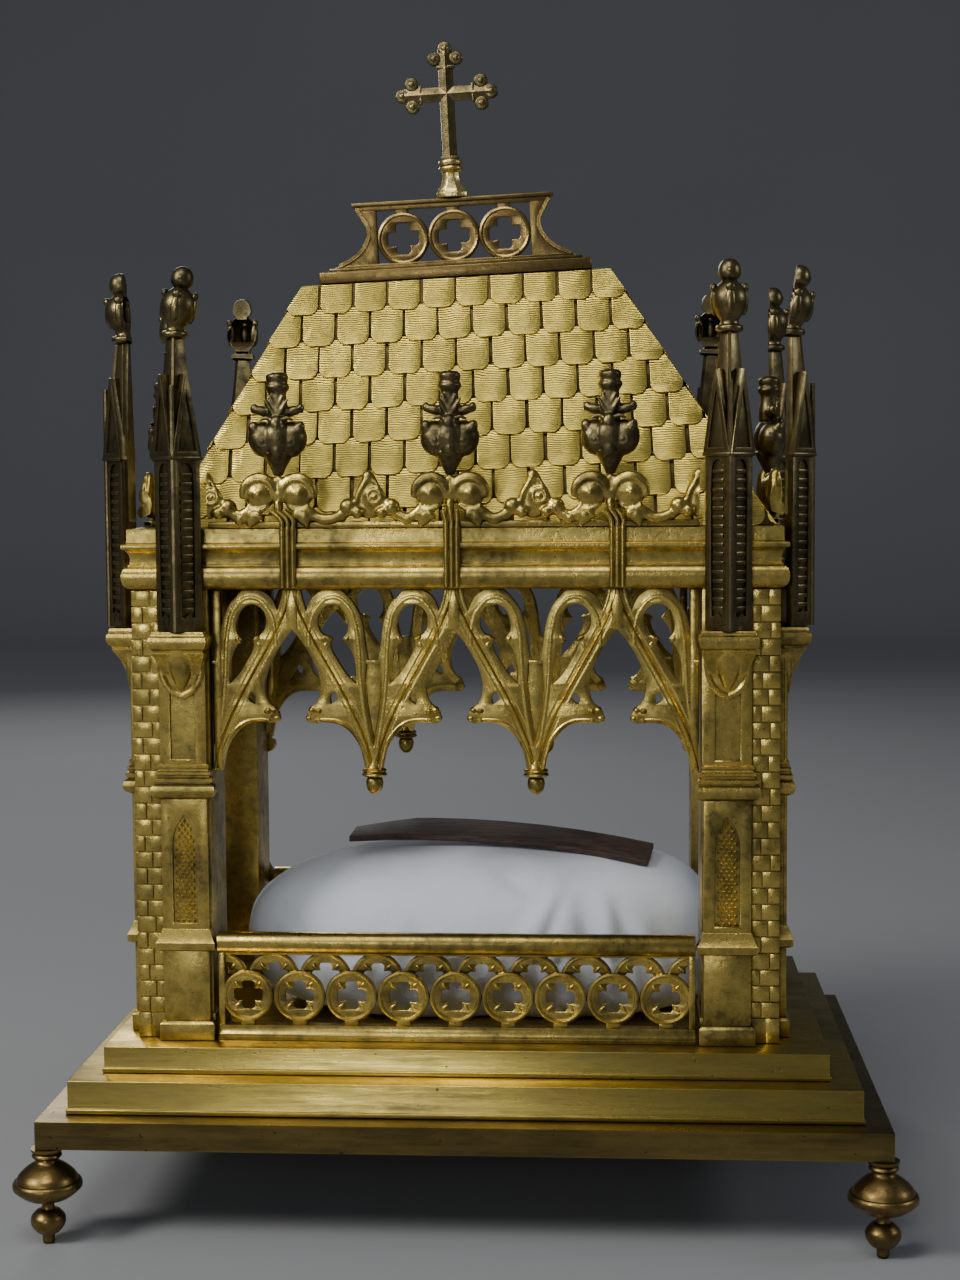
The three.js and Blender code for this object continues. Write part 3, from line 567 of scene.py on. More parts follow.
def swept(points, section, y):
    """A bar of the given cross-section, (across, outwards) points, bent along a flat line."""
    outline = drawn([(across, out, 0) for across, out in section])
    line = drawn(points, False)
    line.data.bevel_mode = "OBJECT"
    line.data.bevel_object = outline
    line.data.use_fill_caps = True
    piece = stood(line, y)
    bpy.data.objects.remove(outline)
    return piece


def mirrored(points):
    return [(-point[0], *point[1:]) for point in reversed(points)]


HOOD = [(-1.5, -1), (-1.5, 0.5), (-0.5, 1.3), (0.5, 1.3), (1.5, 0.5), (1.5, -1)]

buttress_parts = [
    eased(wall_moulding([(13.4, 6, CHAPEL_FLOOR), (13.4, 6, 96.6), (12.2, 4.9, 98)]), 0.3),
    eased(block(-11.3, 11.3, -4.4, WALL, 98, 133.4), 0.5),
    wall_moulding([
        (12.2, 5.2, 132.4), (14.2, 7.2, 133.4), (14.4, 7.4, 134), (14.4, 7.4, 136.8),
        (13.9, 7, 137.4), (12.1, 5.1, 141.6), (11.7, 4.8, 142.6), (11.4, 4.5, 143.1)]),
    wall_moulding([
        (11.5, 4.5, 206.4), (12.4, 5.3, 207), (14.6, 7.1, 207.9), (15.5, 7.9, 209.6),
        (15.6, 8, 211.2), (15.1, 7.6, 213), (13.7, 6.4, 213.9), (13.2, 6, 214.2),
        (13.2, 6, 214.8), (14.3, 7, 215.1), (14.3, 7, 216.6), (13.7, 6.4, 217),
        (12.6, 5.5, 217.3), (12.6, 5.5, 218.2), (13.4, 6.2, 218.6), (13.4, 6.2, 219.8),
        (12.6, 5.4, 220.2), (12, 5, 220.7), (12, 5, 221.6), (12.5, 5.4, 221.9),
        (12.5, 5.4, 222.9), (11.4, 4.5, 223.6)]),
    wall_moulding([
        (8.4, 4.6, 262), (8.9, 5.4, 266), (10.2, 8.2, 271), (12, 11.4, 275.6), (12.5, 12.8, 277.4),
        (11.9, 12.6, 278), (11.9, 12.8, 278.8), (13, 14.4, 279.8), (13.8, 15.2, 281.6),
        (14, 15.4, 283.4), (13.6, 15, 285.2), (12.9, 14.2, 285.8), (12.9, 14.2, 286.6),
        (12.2, 13.6, 287.7)]),
]

# The middle stage: a sheet pierced by the niche over a sunk back, filled with small pointed studs.
niche = [(-5.9, 145.9, 0), (5.9, 145.9, 0), (5.9, 184, 0), (5.2, 189.4), (3.2, 194.4), (0, 198.8, 0),
         (-3.2, 194.4), (-5.2, 189.4), (-5.9, 184, 0)]
stage = [(-11.3, 142.6, 0), (11.3, 142.6, 0), (11.3, 207, 0), (-11.3, 207, 0)]
buttress_parts.append(plate([stage, niche], -4.4, -2.8, 0.4))
buttress_parts.append(block(-10.9, 10.9, -3.1, WALL, 142.6, 207))
buttress_parts.append(eased(block(-6.3, 6.3, -4.9, -3, 144.6, 146.3), 0.3))
stud = drawn_up([(1.0, 1.45, 0), (0.12, 0.17, 0.95)], 4, turn=0)
stud.data.transform(Matrix.Rotation(math.pi / 2, 4, "X"))
for step in range(26):
    z = 147.5 + step * 1.92
    offset = 0 if step % 2 else 1.36
    for column in range(-2, 3):
        x = column * 2.72 + (offset if step % 2 == 0 else 0)
        reach = 5.3 if z < 184 else 5.3 * math.sqrt(max(0, (198 - z) / 14))
        if abs(x) < reach:
            buttress_parts.append(copied(stud, Matrix.Translation((x, -3.05, z))))
bpy.data.objects.remove(stud)

# The upper stage: a panel sunk between borders, under a hood that hangs from the cap round the corbel.
panel = [(-5.9, 225.4, 0), (5.9, 225.4, 0), (5.9, 262, 0), (-5.9, 262, 0)]
stage = [(-11.3, 222.6, 0), (11.3, 222.6, 0), (11.3, 279.6, 0), (-11.3, 279.6, 0)]
buttress_parts.append(plate([stage, panel], -4.4, -2.8, 0.4))
buttress_parts.append(block(-10.9, 10.9, -3.1, WALL, 222.6, 279.6))
buttress_parts.append(eased(block(-6.2, 6.2, -4.7, -3, 224.6, 226), 0.25))
shield = [(0, 254.6, 0), (5, 257.8), (8.6, 264), (9.6, 272), (9.8, 279.6, 0)]
buttress_parts.append(plate([[*shield, *mirrored(shield)[:-1]]], -5.2, -3, 0.5))
hood = [(0, 256.2, 0), (5.4, 259.4), (8.9, 265.4), (9.8, 273), (9.9, 279)]
for line in (hood, mirrored(hood)):
    buttress_parts.append(swept(line, HOOD, -5.1))
drop = [(0.8, 0.6, 258.6), (2.4, 2, 261), (4.4, 3.8, 265), (6.4, 6.2, 270), (8.6, 8.4, 276), (9, 8.8, 279)]
buttress_parts.append(cut_back(drawn_up(drop, 12, 0, -4.6), (0, -4, 0), (0, 1, 0)))

buttress = joined(buttress_parts)
for face, frame_matrix, half_width, arches, ends in FACES:
    for side, end in zip((-1, 1), ends):
        shift = Matrix.Translation((side * (half_width - BUTTRESS_INSET), 0, 0))
        settled([copied(buttress, shift)], frame_matrix, gilt_brass, "gilt_brass", f"buttress_{face}_{end}")
bpy.data.objects.remove(buttress)

# ---- pinnacles ------------------------------------------------------------------------------------
# Half castings in dark bronze, square in plan with an arris outwards and a flat back against the
# cornice: two rung-filled panels, two steep gablets, a spirelet, and a budded knob, some of them bent.

PINNACLE_BACK = -4.2
PINNACLE_AXIS = -6.2
FACE_HALF = 10.8 / math.sqrt(2)

dark_bronze = metal(
    "dark_bronze", (0.25, 0.195, 0.085), (0.058, 0.048, 0.027), (0.014, 0.012, 0.008), 0.62, 0.29, 45, 0.004)


def oval(x, y, z, half_x, half_y, half_z, tilt=0.0, rings=10):
    """A rounded lump of metal, tilted in the plane of the face."""
    deselect()
    bpy.ops.mesh.primitive_uv_sphere_add(segments=2 * rings, ring_count=rings, radius=1)
    piece = bpy.context.object
    stand = Matrix.Translation((x, y, z)) @ Matrix.Rotation(math.radians(tilt), 4, "Y")
    piece.data.transform(stand @ Matrix.Diagonal((half_x, half_y, half_z, 1)))
    return piece


def on_arris_faces(pieces):
    """Pieces drawn on a flat face at y = 0 are set on the pinnacle's two outward faces."""
    drawing = joined(pieces)
    twins = []
    for side in (-1, 1):
        stand = Matrix.Translation((0, PINNACLE_AXIS, 0)) @ Matrix.Rotation(side * math.pi / 4, 4, "Z")
        twins.append(copied(drawing, stand @ Matrix.Translation((0, -FACE_HALF, 0))))
    bpy.data.objects.remove(drawing)
    return twins


rungs = [block(-3.3, 3.3, -0.15, 1.4, 297.4 + step * 4.25, 299.3 + step * 4.25) for step in range(16)]
panel = [(-3.6, 294.6, 0), (3.6, 294.6, 0), (3.6, 362.6), (2.6, 366.2), (0, 367.6), (-2.6, 366.2),
         (-3.6, 362.6)]
face_sheet = [(-FACE_HALF, 288, 0), (FACE_HALF, 288, 0), (FACE_HALF, 371, 0), (-FACE_HALF, 371, 0)]
gablet = [(-8.2, 370.2, 0), (8.2, 370.2, 0), (4.3, 392, 0), (0.9, 409.4, 0), (-0.9, 409.4, 0), (-4.3, 392, 0)]
gablet_field = [(-4.9, 373.2, 0), (4.9, 373.2, 0), (2.5, 388, 0), (0, 400, 0), (-2.5, 388, 0)]
small_arch = swept([(-2.4, 291), (-2.2, 293.4), (0, 295.6, 0), (2.2, 293.4), (2.4, 291)],
                   [(-0.5, -0.6), (-0.5, 0.4), (0.5, 0.4), (0.5, -0.6)], -0.2)
face_pieces = [
    eased(joined(rungs), 0.35),
    plate([face_sheet, panel], -0.4, 1.4, 0.35),
    plate([gablet, gablet_field], -1.5, 3.2, 0.4),
    plate([gablet_field], -0.7, 2.6, 0.1),
    eased(block(-8.3, 8.3, -1.7, 2, 369.2, 370.8), 0.3),
    small_arch,
]
body = drawn_up([
    (9.7, 9.7, 288), (9.7, 9.7, 371), (10, 10, 371.4), (8.2, 8.2, 386), (6.7, 6.7, 404), (5.2, 5.2, 418),
    (4.2, 4.2, 427.6)], 4, 0, PINNACLE_AXIS, 0)
arris = drawn_up([(1.5, 1.5, 288), (1.5, 1.5, 370), (1.2, 1.2, 404)], 8, 0, PINNACLE_AXIS - 10.2)
spire_arris = swept([(0, 404), (0, 427.4)], [(-0.9, -1), (-0.5, 0.5), (0.5, 0.5), (0.9, -1)], 0)
spire_arris.data.transform(Matrix.Translation((0, PINNACLE_AXIS - 6.6, 404)) @ Matrix.Rotation(
    math.radians(-6.2), 4, "X") @ Matrix.Translation((0, 0, -404)))
shaft_parts = [eased(body, 0.5), arris, spire_arris, *on_arris_faces(face_pieces)]
collar = turned(flowing([
    (4.2, 426.2), (6.1, 427), (6.5, 428.2), (6.1, 429.4), (4.5, 430.2), (4.3, 431.4)]), 24, 0, PINNACLE_AXIS)
shaft_parts.append(collar)
pinnacle_shaft = cut_back(joined(shaft_parts), (0, PINNACLE_BACK, 0), (0, 1, 0))
spur = eased(block(-6.5, 6.5, PINNACLE_BACK - 1, WALL, 288, 306.3), 0.3)

knob_parts = [turned(flowing([
    (4.1, 430), (4.4, 432), (6.9, 435.6), (8.2, 440), (7.9, 444), (6.2, 447.4), (4.4, 449.2),
    (3.5, 450)]), 24, 0, PINNACLE_AXIS)]
for turn in (0, 90, 180, 270):
    leaf = [oval(0, -6.6, 440.4, 2.6, 2.2, 6.4), oval(0, -7.2, 446.8, 2.3, 1.7, 2.1)]
    stand = Matrix.Translation((0, PINNACLE_AXIS, 0)) @ Matrix.Rotation(math.radians(turn), 4, "Z")
    knob_parts.append(copied(joined(leaf), stand))
    bpy.data.objects.remove(leaf[0])
knob_parts.append(turned(flowing([
    (3.3, 449), (3.5, 450.2), (5.0, 452), (5.3, 454.4), (4.7, 457.2), (3.1, 459.4), (1.2, 460.2)]),
    24, 0, PINNACLE_AXIS))
knob_parts.append(oval(0, PINNACLE_AXIS - 5, 454.6, 1.1, 0.8, 1.1, rings=6))
knob = cut_back(joined(knob_parts), (0, PINNACLE_BACK, 0), (0, 1, 0))

# How far the soft metal has been bent at the root of the knob, sideways and outwards, in degrees.
BENT = {"front_left": (9, 0), "left_front": (0, 4), "right_front": (0, 8)}
for face, frame_matrix, half_width, arches, ends in FACES:
    for side, end in zip((-1, 1), ends):
        sideways, outwards = BENT.get(f"{face}_{end}", (0, 0))
        root = Matrix.Translation((0, PINNACLE_AXIS, 428.4))
        lean = Matrix.Rotation(math.radians(sideways), 4, "Y")
        lean = lean @ Matrix.Rotation(math.radians(outwards), 4, "X")
        shift = Matrix.Translation((side * (half_width - BUTTRESS_INSET), 0, 0))
        pieces = [
            copied(pinnacle_shaft, shift),
            copied(spur, shift),
            copied(knob, shift @ root @ lean @ root.inverted()),
        ]
        settled(pieces, frame_matrix, dark_bronze, "dark_bronze", f"pinnacle_{face}_{end}")
for piece in (pinnacle_shaft, spur, knob):
    bpy.data.objects.remove(piece)

# ---- cornice --------------------------------------------------------------------------------------
# One mitred frame of drawn brass that binds the piers: a bright roll, a thin fillet, a hollowed
# frieze, a nosing and a narrow ledge, open in the middle so that the roof drops in.

# Outwards from the pier faces, and height.
cornice_profile = [
    (0.2, 307.3),
    *flowing([(1.3, 307.9), (2.9, 309.6), (3.7, 312.4), (3.5, 315.4), (2.2, 317.6), (0.9, 318.3)]),
    (0.9, 319.1), (0.1, 319.5), (0, 322.2), *flowing([(0.3, 323.6), (1.1, 325.2), (2.6, 326.4)]),
    (3.3, 326.7), *flowing([(3.6, 327.1), (3.7, 328), (3.4, 329)], 2), (2.5, 329.4), (1.4, 329.8),
    (1.2, 331.4), (1.2, 336.1), (0.8, 336.5), (-16, 336.5), (-16, 307.3)]
deselect()
bpy.ops.mesh.primitive_plane_add(size=2)
cornice = bpy.context.object
out, low = cornice_profile[0]
cornice.data.transform(Matrix.Translation((0, 0, low)) @ Matrix.Diagonal((HALF_X + out, HALF_Y + out, 1, 1)))
bpy.ops.object.mode_set(mode="EDIT")
bpy.ops.mesh.delete(type="ONLY_FACE")
bpy.ops.mesh.select_all(action="SELECT")
for (out0, z0), (out1, z1) in zip(cornice_profile, cornice_profile[1:]):
    bpy.ops.mesh.extrude_edges_move(TRANSFORM_OT_translate={"value": (0, 0, z1 - z0)})
    scale = ((HALF_X + out1) / (HALF_X + out0), (HALF_Y + out1) / (HALF_Y + out0), 1)
    bpy.ops.transform.resize(value=scale, center_override=(0, 0, z1))
bpy.ops.mesh.select_all(action="SELECT")
bpy.ops.mesh.region_to_loop()
bpy.ops.mesh.bridge_edge_loops()
bpy.ops.mesh.select_all(action="SELECT")
bpy.ops.mesh.normals_make_consistent(inside=False)
bpy.ops.object.mode_set(mode="OBJECT")
chapel = Matrix.Translation((middle.x, middle.y, 0)) @ MM
settled([cornice], chapel, gilt_brass, "gilt_brass", "cornice")

# ---- tracery --------------------------------------------------------------------------------------
# Cast arcading soldered under the cornice: ridged strands sweep down from a stem over each arch and
# meet in hanging buds, with looped keyholes above and leafy cusps that stand into the light.

ARCH_PITCH = 2 * (HALF_X - PIER) / 3
HALF_ARCH = ARCH_PITCH / 2

STRAND = [(-3.3, -5), (-3.4, -0.7), (-2.7, 0.2), (-1.9, 0.1), (-1.3, -0.5), (-0.9, -0.3), (0, 1.2),
          (0.9, -0.3), (1.3, -0.5), (1.9, 0.1), (2.7, 0.2), (3.4, -0.7), (3.3, -5)]
LOOP = [(-2.3, -4.4), (-2.4, -0.9), (-1.6, 0.1), (-0.6, 0.5), (0.6, 0.5), (1.6, 0.1), (2.4, -0.9),
        (2.3, -4.4)]
CUSP = [(-1.7, -4.2), (-1.8, -0.9), (-1, 0.1), (0, 0.6), (1, 0.1), (1.8, -0.9), (1.7, -4.2)]


def bowed(a, b, c, d, steps=9):
    """Points on the even curve that leaves a towards b and arrives at d from c."""
    line = []
    for step in range(steps + 1):
        t = step / steps
        line.append(tuple(
            (1 - t) ** 3 * p + 3 * t * (1 - t) ** 2 * q + 3 * t * t * (1 - t) * r + t ** 3 * s
            for p, q, r, s in zip(a, b, c, d)))
    return line


web = [
    (-2, 307, 0), (-2, 289.6, 0), (4, 282.6), (9.6, 273.4), (12.8, 265.4), (13.4, 258.4), (11.4, 252.2),
    (8.2, 249.4, 0), (6.6, 246.4), (7.6, 242.8), (10.6, 242.2, 0), (15, 243.2), (21, 244.2), (26.8, 241.2),
    (31.4, 234.8), (34.2, 227), (35, 219, 0), (41, 219, 0), (41, 231, 0), (39.1, 231, 0), (36.4, 243),
    (35, 256), (35.8, 271, 0), (36.8, 272.6, 0),
    (35.4, 281), (34.2, 290), (31.4, 298), (26.8, 304), (23.6, 307, 0), (15.2, 307, 0), (10, 303.2),
    (7, 297, 0), (5.4, 302), (4.4, 307, 0)]
keyhole = [
    (19.6, 299.6), (14.4, 297.2), (12.6, 291.6), (14.6, 285.8), (19.3, 283.4, 0), (18.8, 279.4),
    (22.2, 272.4), (27.2, 265), (30.6, 261.6, 0), (30.6, 268.4), (29, 276.4), (26.8, 280.2), (24.4, 283, 0),
    (26.8, 286.6), (26.8, 291.8), (24.4, 297.4)]
hollow = [(18.6, 251.6, 0), (21.4, 253.8), (20.6, 257.2, 0), (18.4, 255.6)]
field = [(41, 226, 0), (35, 240, 0), (33, 256), (34.4, 272.4, 0), (41, 272.4, 0)]
half_arch_parts = [
    plate([web, keyhole, hollow], 5.6, 9.8, 0.4),
    plate([field], 7.4, 9.4, 0.2),
    swept(bowed((0.4, 308), (2, 287.5), (33.9, 251.5), (38.4, 219.6)), STRAND, 5.7),
    swept([(8, 279.6), (8.4, 288), (11.6, 297.2), (19.4, 303), (27.4, 298.4), (30.8, 289), (32.2, 277.4),
           (32.8, 264), (34.6, 247), (37.4, 231)], LOOP, 5.9),
    swept([(37.4, 220.4), (34.8, 228.8), (30.6, 236.8), (24.4, 242.4), (17.4, 244.2), (11.6, 244)], CUSP, 6),
    swept([(17.6, 263.4), (16.2, 257), (13.4, 251.2), (10, 247.8)], CUSP, 6.2),
    oval(7.9, 7.4, 244.6, 2.0, 2.6, 1.8, rings=7),
    oval(9.2, 7.2, 248.4, 1.9, 2.6, 1.9, rings=7),
    oval(12.4, 7, 248.2, 2.3, 2.6, 1.8, rings=7),
    oval(12.2, 7.2, 243.6, 2.2, 2.5, 1.5, rings=7),
    oval(17.4, 6.6, 283.4, 2.7, 1.9, 1.4, 25, rings=7),
    oval(26.4, 6.6, 282.8, 2.4, 1.9, 1.5, -60, rings=7),
    oval(16, 6.8, 279.8, 1.4, 1.6, 2.6, 25, rings=7),
    eased(block(35.8, 41, 5, 8, 271, 272.8), 0.3),
    eased(block(-2, 2.6, 4.9, 10.4, 287.6, 307), 0.4),
]
half_arch = cut_back(joined(half_arch_parts), (HALF_ARCH, 0, 0), (1, 0, 0))
half_arch = cut_back(half_arch, (0, 0, 0), (-1, 0, 0))
hanging_bud = turned([
    (0.5, 207.6), *flowing([(1.7, 207.9), (3.4, 209.8), (4.2, 212.4), (3.9, 214.8), (3.1, 216)]),
    *flowing([(5.2, 216.3), (6.2, 217.2), (5.3, 218.2)]), *flowing([(5.2, 218.4), (5.9, 219.2), (5, 220.1)]),
    (3.8, 220.4), (2.6, 224)], 24, 0, 7.75)
pier_band = eased(block(-4.6, -0.5, 5.2, 10.6, 220, 307), 0.8)
for face, frame_matrix, half_width, arches, ends in FACES:
    bay_half = half_width - PIER
    pieces = []
    for arch in range(arches):
        x = (arch - (arches - 1) / 2) * ARCH_PITCH
        shift = Matrix.Translation((x, 0, 0))
        pieces.append(copied(half_arch, shift))
        pieces.append(copied(half_arch, shift @ Matrix.Diagonal((-1, 1, 1, 1))))
        if arch > 0:
            pieces.append(copied(hanging_bud, Matrix.Translation((x - HALF_ARCH, 0, 0))))
    for side in (-1, 1):
        stand = Matrix.Diagonal((side, 1, 1, 1)) @ Matrix.Translation((bay_half, 0, 0))
        pieces.append(copied(pier_band, stand))
    bay = joined(pieces)
    cut_back(bay, (bay_half - 0.3, 0, 0), (1, 0, 0))
    cut_back(bay, (-bay_half + 0.3, 0, 0), (-1, 0, 0))
    settled([bay], frame_matrix, gilt_brass, "gilt_brass", f"tracery_{face}")
for piece in (half_arch, hanging_bud, pier_band):
    bpy.data.objects.remove(piece)

# ---- balustrades ----------------------------------------------------------------------------------
# Pierced screens between the buttress feet: a row of dished rings with four-lobed lights, a second
# row of half rings behind and above it, a round hand rail and a moulded sill, all soldered together.

DISH = 11.2
RING_PITCH = 25.3
RING_Z = 110
UPPER_Z = 118.6


def rail(outline, x0, x1, ease=0.3):
    """A straight moulding along the face, from an outline of (outwards, z) points."""
    piece = plate([outline], x0, x1, ease)
    piece.data.transform(Matrix.Rotation(-math.pi / 2, 4, "Z"))
    return piece


def hoop(x, y, z, radius, thickness, turns=36, sides=8):
    """A round wire ring that stands upright in the plane of the face."""
    deselect()
    bpy.ops.mesh.primitive_torus_add(
        major_radius=radius, minor_radius=thickness, major_segments=turns, minor_segments=sides)
    piece = bpy.context.object
    piece.data.transform(Matrix.Translation((x, y, z)) @ Matrix.Rotation(math.pi / 2, 4, "X"))
    return piece


def around(cx, cz, radius, start, end, count):
    """Points on an arc in the plane of the face, angles in degrees."""
    angles = [math.radians(start + (end - start) * step / (count - 1)) for step in range(count)]
    return [(cx + radius * math.cos(angle), cz + radius * math.sin(angle)) for angle in angles]


def four_lobes(cx, cz, reach, waist=0.6):
    """A four-lobed light with sharp cusps between its lobes."""
    points = []
    for lobe in range(4):
        points += around(cx, cz, reach, lobe * 90 - 24, lobe * 90 + 24, 3)
        cusp = math.radians(lobe * 90 + 45)
        points.append((cx + reach * waist * math.cos(cusp), cz + reach * waist * math.sin(cusp), 0))
    return points


def dished(piece, rim, depth):
    """Sinks the middle of a flat ring into a shallow dish."""
    for vertex in piece.data.vertices:
        radius = math.hypot(vertex.co.x, vertex.co.z)
        vertex.co.y += depth * max(0.0, 1 - radius / rim)
    return piece


dish = plate([around(0, 0, DISH, 0, 330, 12), four_lobes(0, 0, 6.9)], -0.9, 1.1, 0.35)
ring_parts = [dished(dish, DISH, 3.2), hoop(0, -0.5, 0, 11.45, 1.25)]
for lobe in range(4):
    tilt = 45 + 90 * lobe
    x, z = 7.6 * math.cos(math.radians(tilt)), 7.6 * math.sin(math.radians(tilt))
    ring_parts.append(oval(x, 0.1, z, 0.95, 0.9, 2.3, 90 - tilt, rings=6))
ring = joined(ring_parts)
upper_ring = cut_back(copied(ring, Matrix.Translation((0, 1.5, 0))), (0, 0, -0.6), (0, 0, -1))
ring_foot = eased(block(-3.4, 3.4, -1.1, 1.3, -14.8, -11.6), 0.4)
sill_profile = [
    (-3.4, CHAPEL_FLOOR, 0), (4, CHAPEL_FLOOR, 0), (4, 90.2, 0), (3.5, 90.6, 0), (3.5, 91.4, 0), (2.6, 93),
    (2.2, 94.6), (2.2, 95.6, 0), (-3.4, 95.6, 0)]
hand_rail = [(0.4 + x, z) for x, z in around(0, 136, 5.2, 0, 330, 12)]
for face, frame_matrix, half_width, arches, ends in FACES:
    half = half_width - PIER - 2.1
    rings = int(2 * half / RING_PITCH + 0.1)
    pieces = [
        rail(sill_profile, -half, half, 0.25),
        rail(hand_rail, -half, half),
        eased(block(-half, half, -1.4, 2.6, 130, 132.8), 0.4),
    ]
    for index in range(rings):
        x = (index - (rings - 1) / 2) * RING_PITCH
        pieces.append(copied(ring, Matrix.Translation((x, 0, RING_Z))))
        pieces.append(copied(ring_foot, Matrix.Translation((x, 0, RING_Z))))
    for index in range(rings + 1):
        x = (index - rings / 2) * RING_PITCH
        pieces.append(copied(upper_ring, Matrix.Translation((x, 0, UPPER_Z))))
    screen = joined(pieces)
    cut_back(screen, (half, 0, 0), (1, 0, 0))
    cut_back(screen, (-half, 0, 0), (-1, 0, 0))
    posts = [eased(block(x - 1.5, x + 1.5, -1.8, 2.4, 95, 132), 0.4) for x in (1.5 - half, half - 1.5)]
    settled([screen, *posts], frame_matrix, gilt_brass, "gilt_brass", f"balustrade_{face}")
for piece in (ring, upper_ring, ring_foot):
    bpy.data.objects.remove(piece)

# ---- cresting -------------------------------------------------------------------------------------
# Cast leafwork that stands on the cornice: over each arch a pair of hooded curled leaves on a ribbed
# stem, between the arches a three-part leaf, and rope-like swags between them. It is soft with wear.

CREST_Z = 336.8


def fused(piece, grain, soften=3):
    """The lumps of a casting run together under one skin."""
    skin = piece.modifiers.new("fuse", "REMESH")
    skin.mode = "VOXEL"
    skin.voxel_size = grain
    smooth = piece.modifiers.new("soften", "SMOOTH")
    smooth.factor = 0.5
    smooth.iterations = soften
    return applied(piece)


def rope(points, thick, y, taper=0.45):
    """A round rod along a flat line, thick in the middle and thin at both ends."""
    line = drawn(points, False)
    spline = line.data.splines[0]
    last = len(points) - 1
    for index, knot in enumerate(spline.bezier_points):
        knot.radius = taper + (1 - taper) * math.sin(math.pi * index / last)
    line.data.bevel_depth = thick
    line.data.bevel_resolution = 2
    line.data.use_fill_caps = True
    return stood(line, y)


def leaf_pair():
    """The two curled leaves over an arch, the lobes that hang from them and the bud between."""
    parts = [
        oval(0, -2.4, 352.8, 1.9, 1.7, 1.9),
        oval(0, -1.2, 358.4, 2.4, 2.2, 3.6),
        oval(0, -2, 346, 2.2, 2.2, 5),
    ]
    for side in (-1, 1):
        x = side * 9
        parts += [
            oval(x, -0.2, 352.6, 7.6, 4.8, 7.4, rings=12),
            hoop(x, -2.4, 352.6, 4.5, 0.9, 20, 6),
            oval(x + side * 0.6, -4.3, 352.6, 2.5, 1.5, 2.6, rings=8),
            rope(around(x, 352.6, 8, 90 - side * 105, 90 + side * 105, 8), 2.6, -1.9, 0.7),
            rope(around(x, 352.6, 7, 90 - side * 60, 90 + side * 80, 6), 1.0, -4.0, 0.5),
            rope([(x - side * 5, 347.6), (x - side * 1, 345.2), (x + side * 3, 344.6), (x + side * 6, 347.4)],
                 1.5, -2.8, 0.6),
            oval(side * 12.2, -2.4, 342.4, 4.0, 2.5, 4.8, -side * 12, rings=8),
            oval(side * 13.4, -2.4, 339.4, 1.9, 2.0, 3.2, -side * 8, rings=7),
            oval(side * 9.4, -3.0, 343.4, 1.9, 1.9, 3.8, side * 38, rings=7),
            oval(side * 15.4, -2.4, 343.8, 1.9, 1.9, 3.6, -side * 42, rings=7),
        ]
    return joined(parts)


def three_leaf():
    """The leaf between two arches: an upright hood with an eye, and a ball at each side."""
    parts = [
        drawn_up([(2, 1.6, 341), (7.4, 2.6, 343), (8.2, 3.3, 348), (6.8, 3.3, 353), (4.6, 2.8, 358),
                  (2.8, 2.1, 361.6), (1.2, 1.2, 363.6)], 14, -0.4, 0.3),
        oval(-0.8, -0.6, 360.2, 2.9, 2.6, 3.8),
        hoop(2.4, -3.2, 351.4, 3.3, 0.95, 20, 6),
        oval(2.4, -3.4, 351.2, 1.5, 1.2, 1.5, rings=7),
        rope([(-6.4, 345), (-6, 351), (-3, 356.8), (-0.6, 361.6)], 1.3, -2.4, 0.5),
        rope([(7.6, 345.4), (7, 351), (4, 356.6), (0.4, 361.6)], 1.2, -2.2, 0.5),
    ]
    for side in (-1, 1):
        parts += [
            oval(side * 10.2, -1.2, 346.4, 4.4, 3.6, 4.3),
            oval(side * 5.8, -2.6, 343.8, 3.1, 2.5, 3.0, rings=8),
            oval(side * 13.2, -1, 342.4, 3.0, 2.6, 2.6, rings=8),
            oval(side * 9.6, -3.8, 347, 1.1, 1.0, 1.1, rings=6),
        ]
    return joined(parts)


def finial_nodes(face, arches):
    """The solids of the buds over a face's arches."""
    return [f"finial_{face}_{index + 1}" if arches > 1 else f"finial_{face}" for index in range(arches)]


def along_face(node, frame_matrix):
    """How far along its face a solid stands."""
    low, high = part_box(node)
    return (frame_matrix.inverted() @ ((low + high) / 2)).x


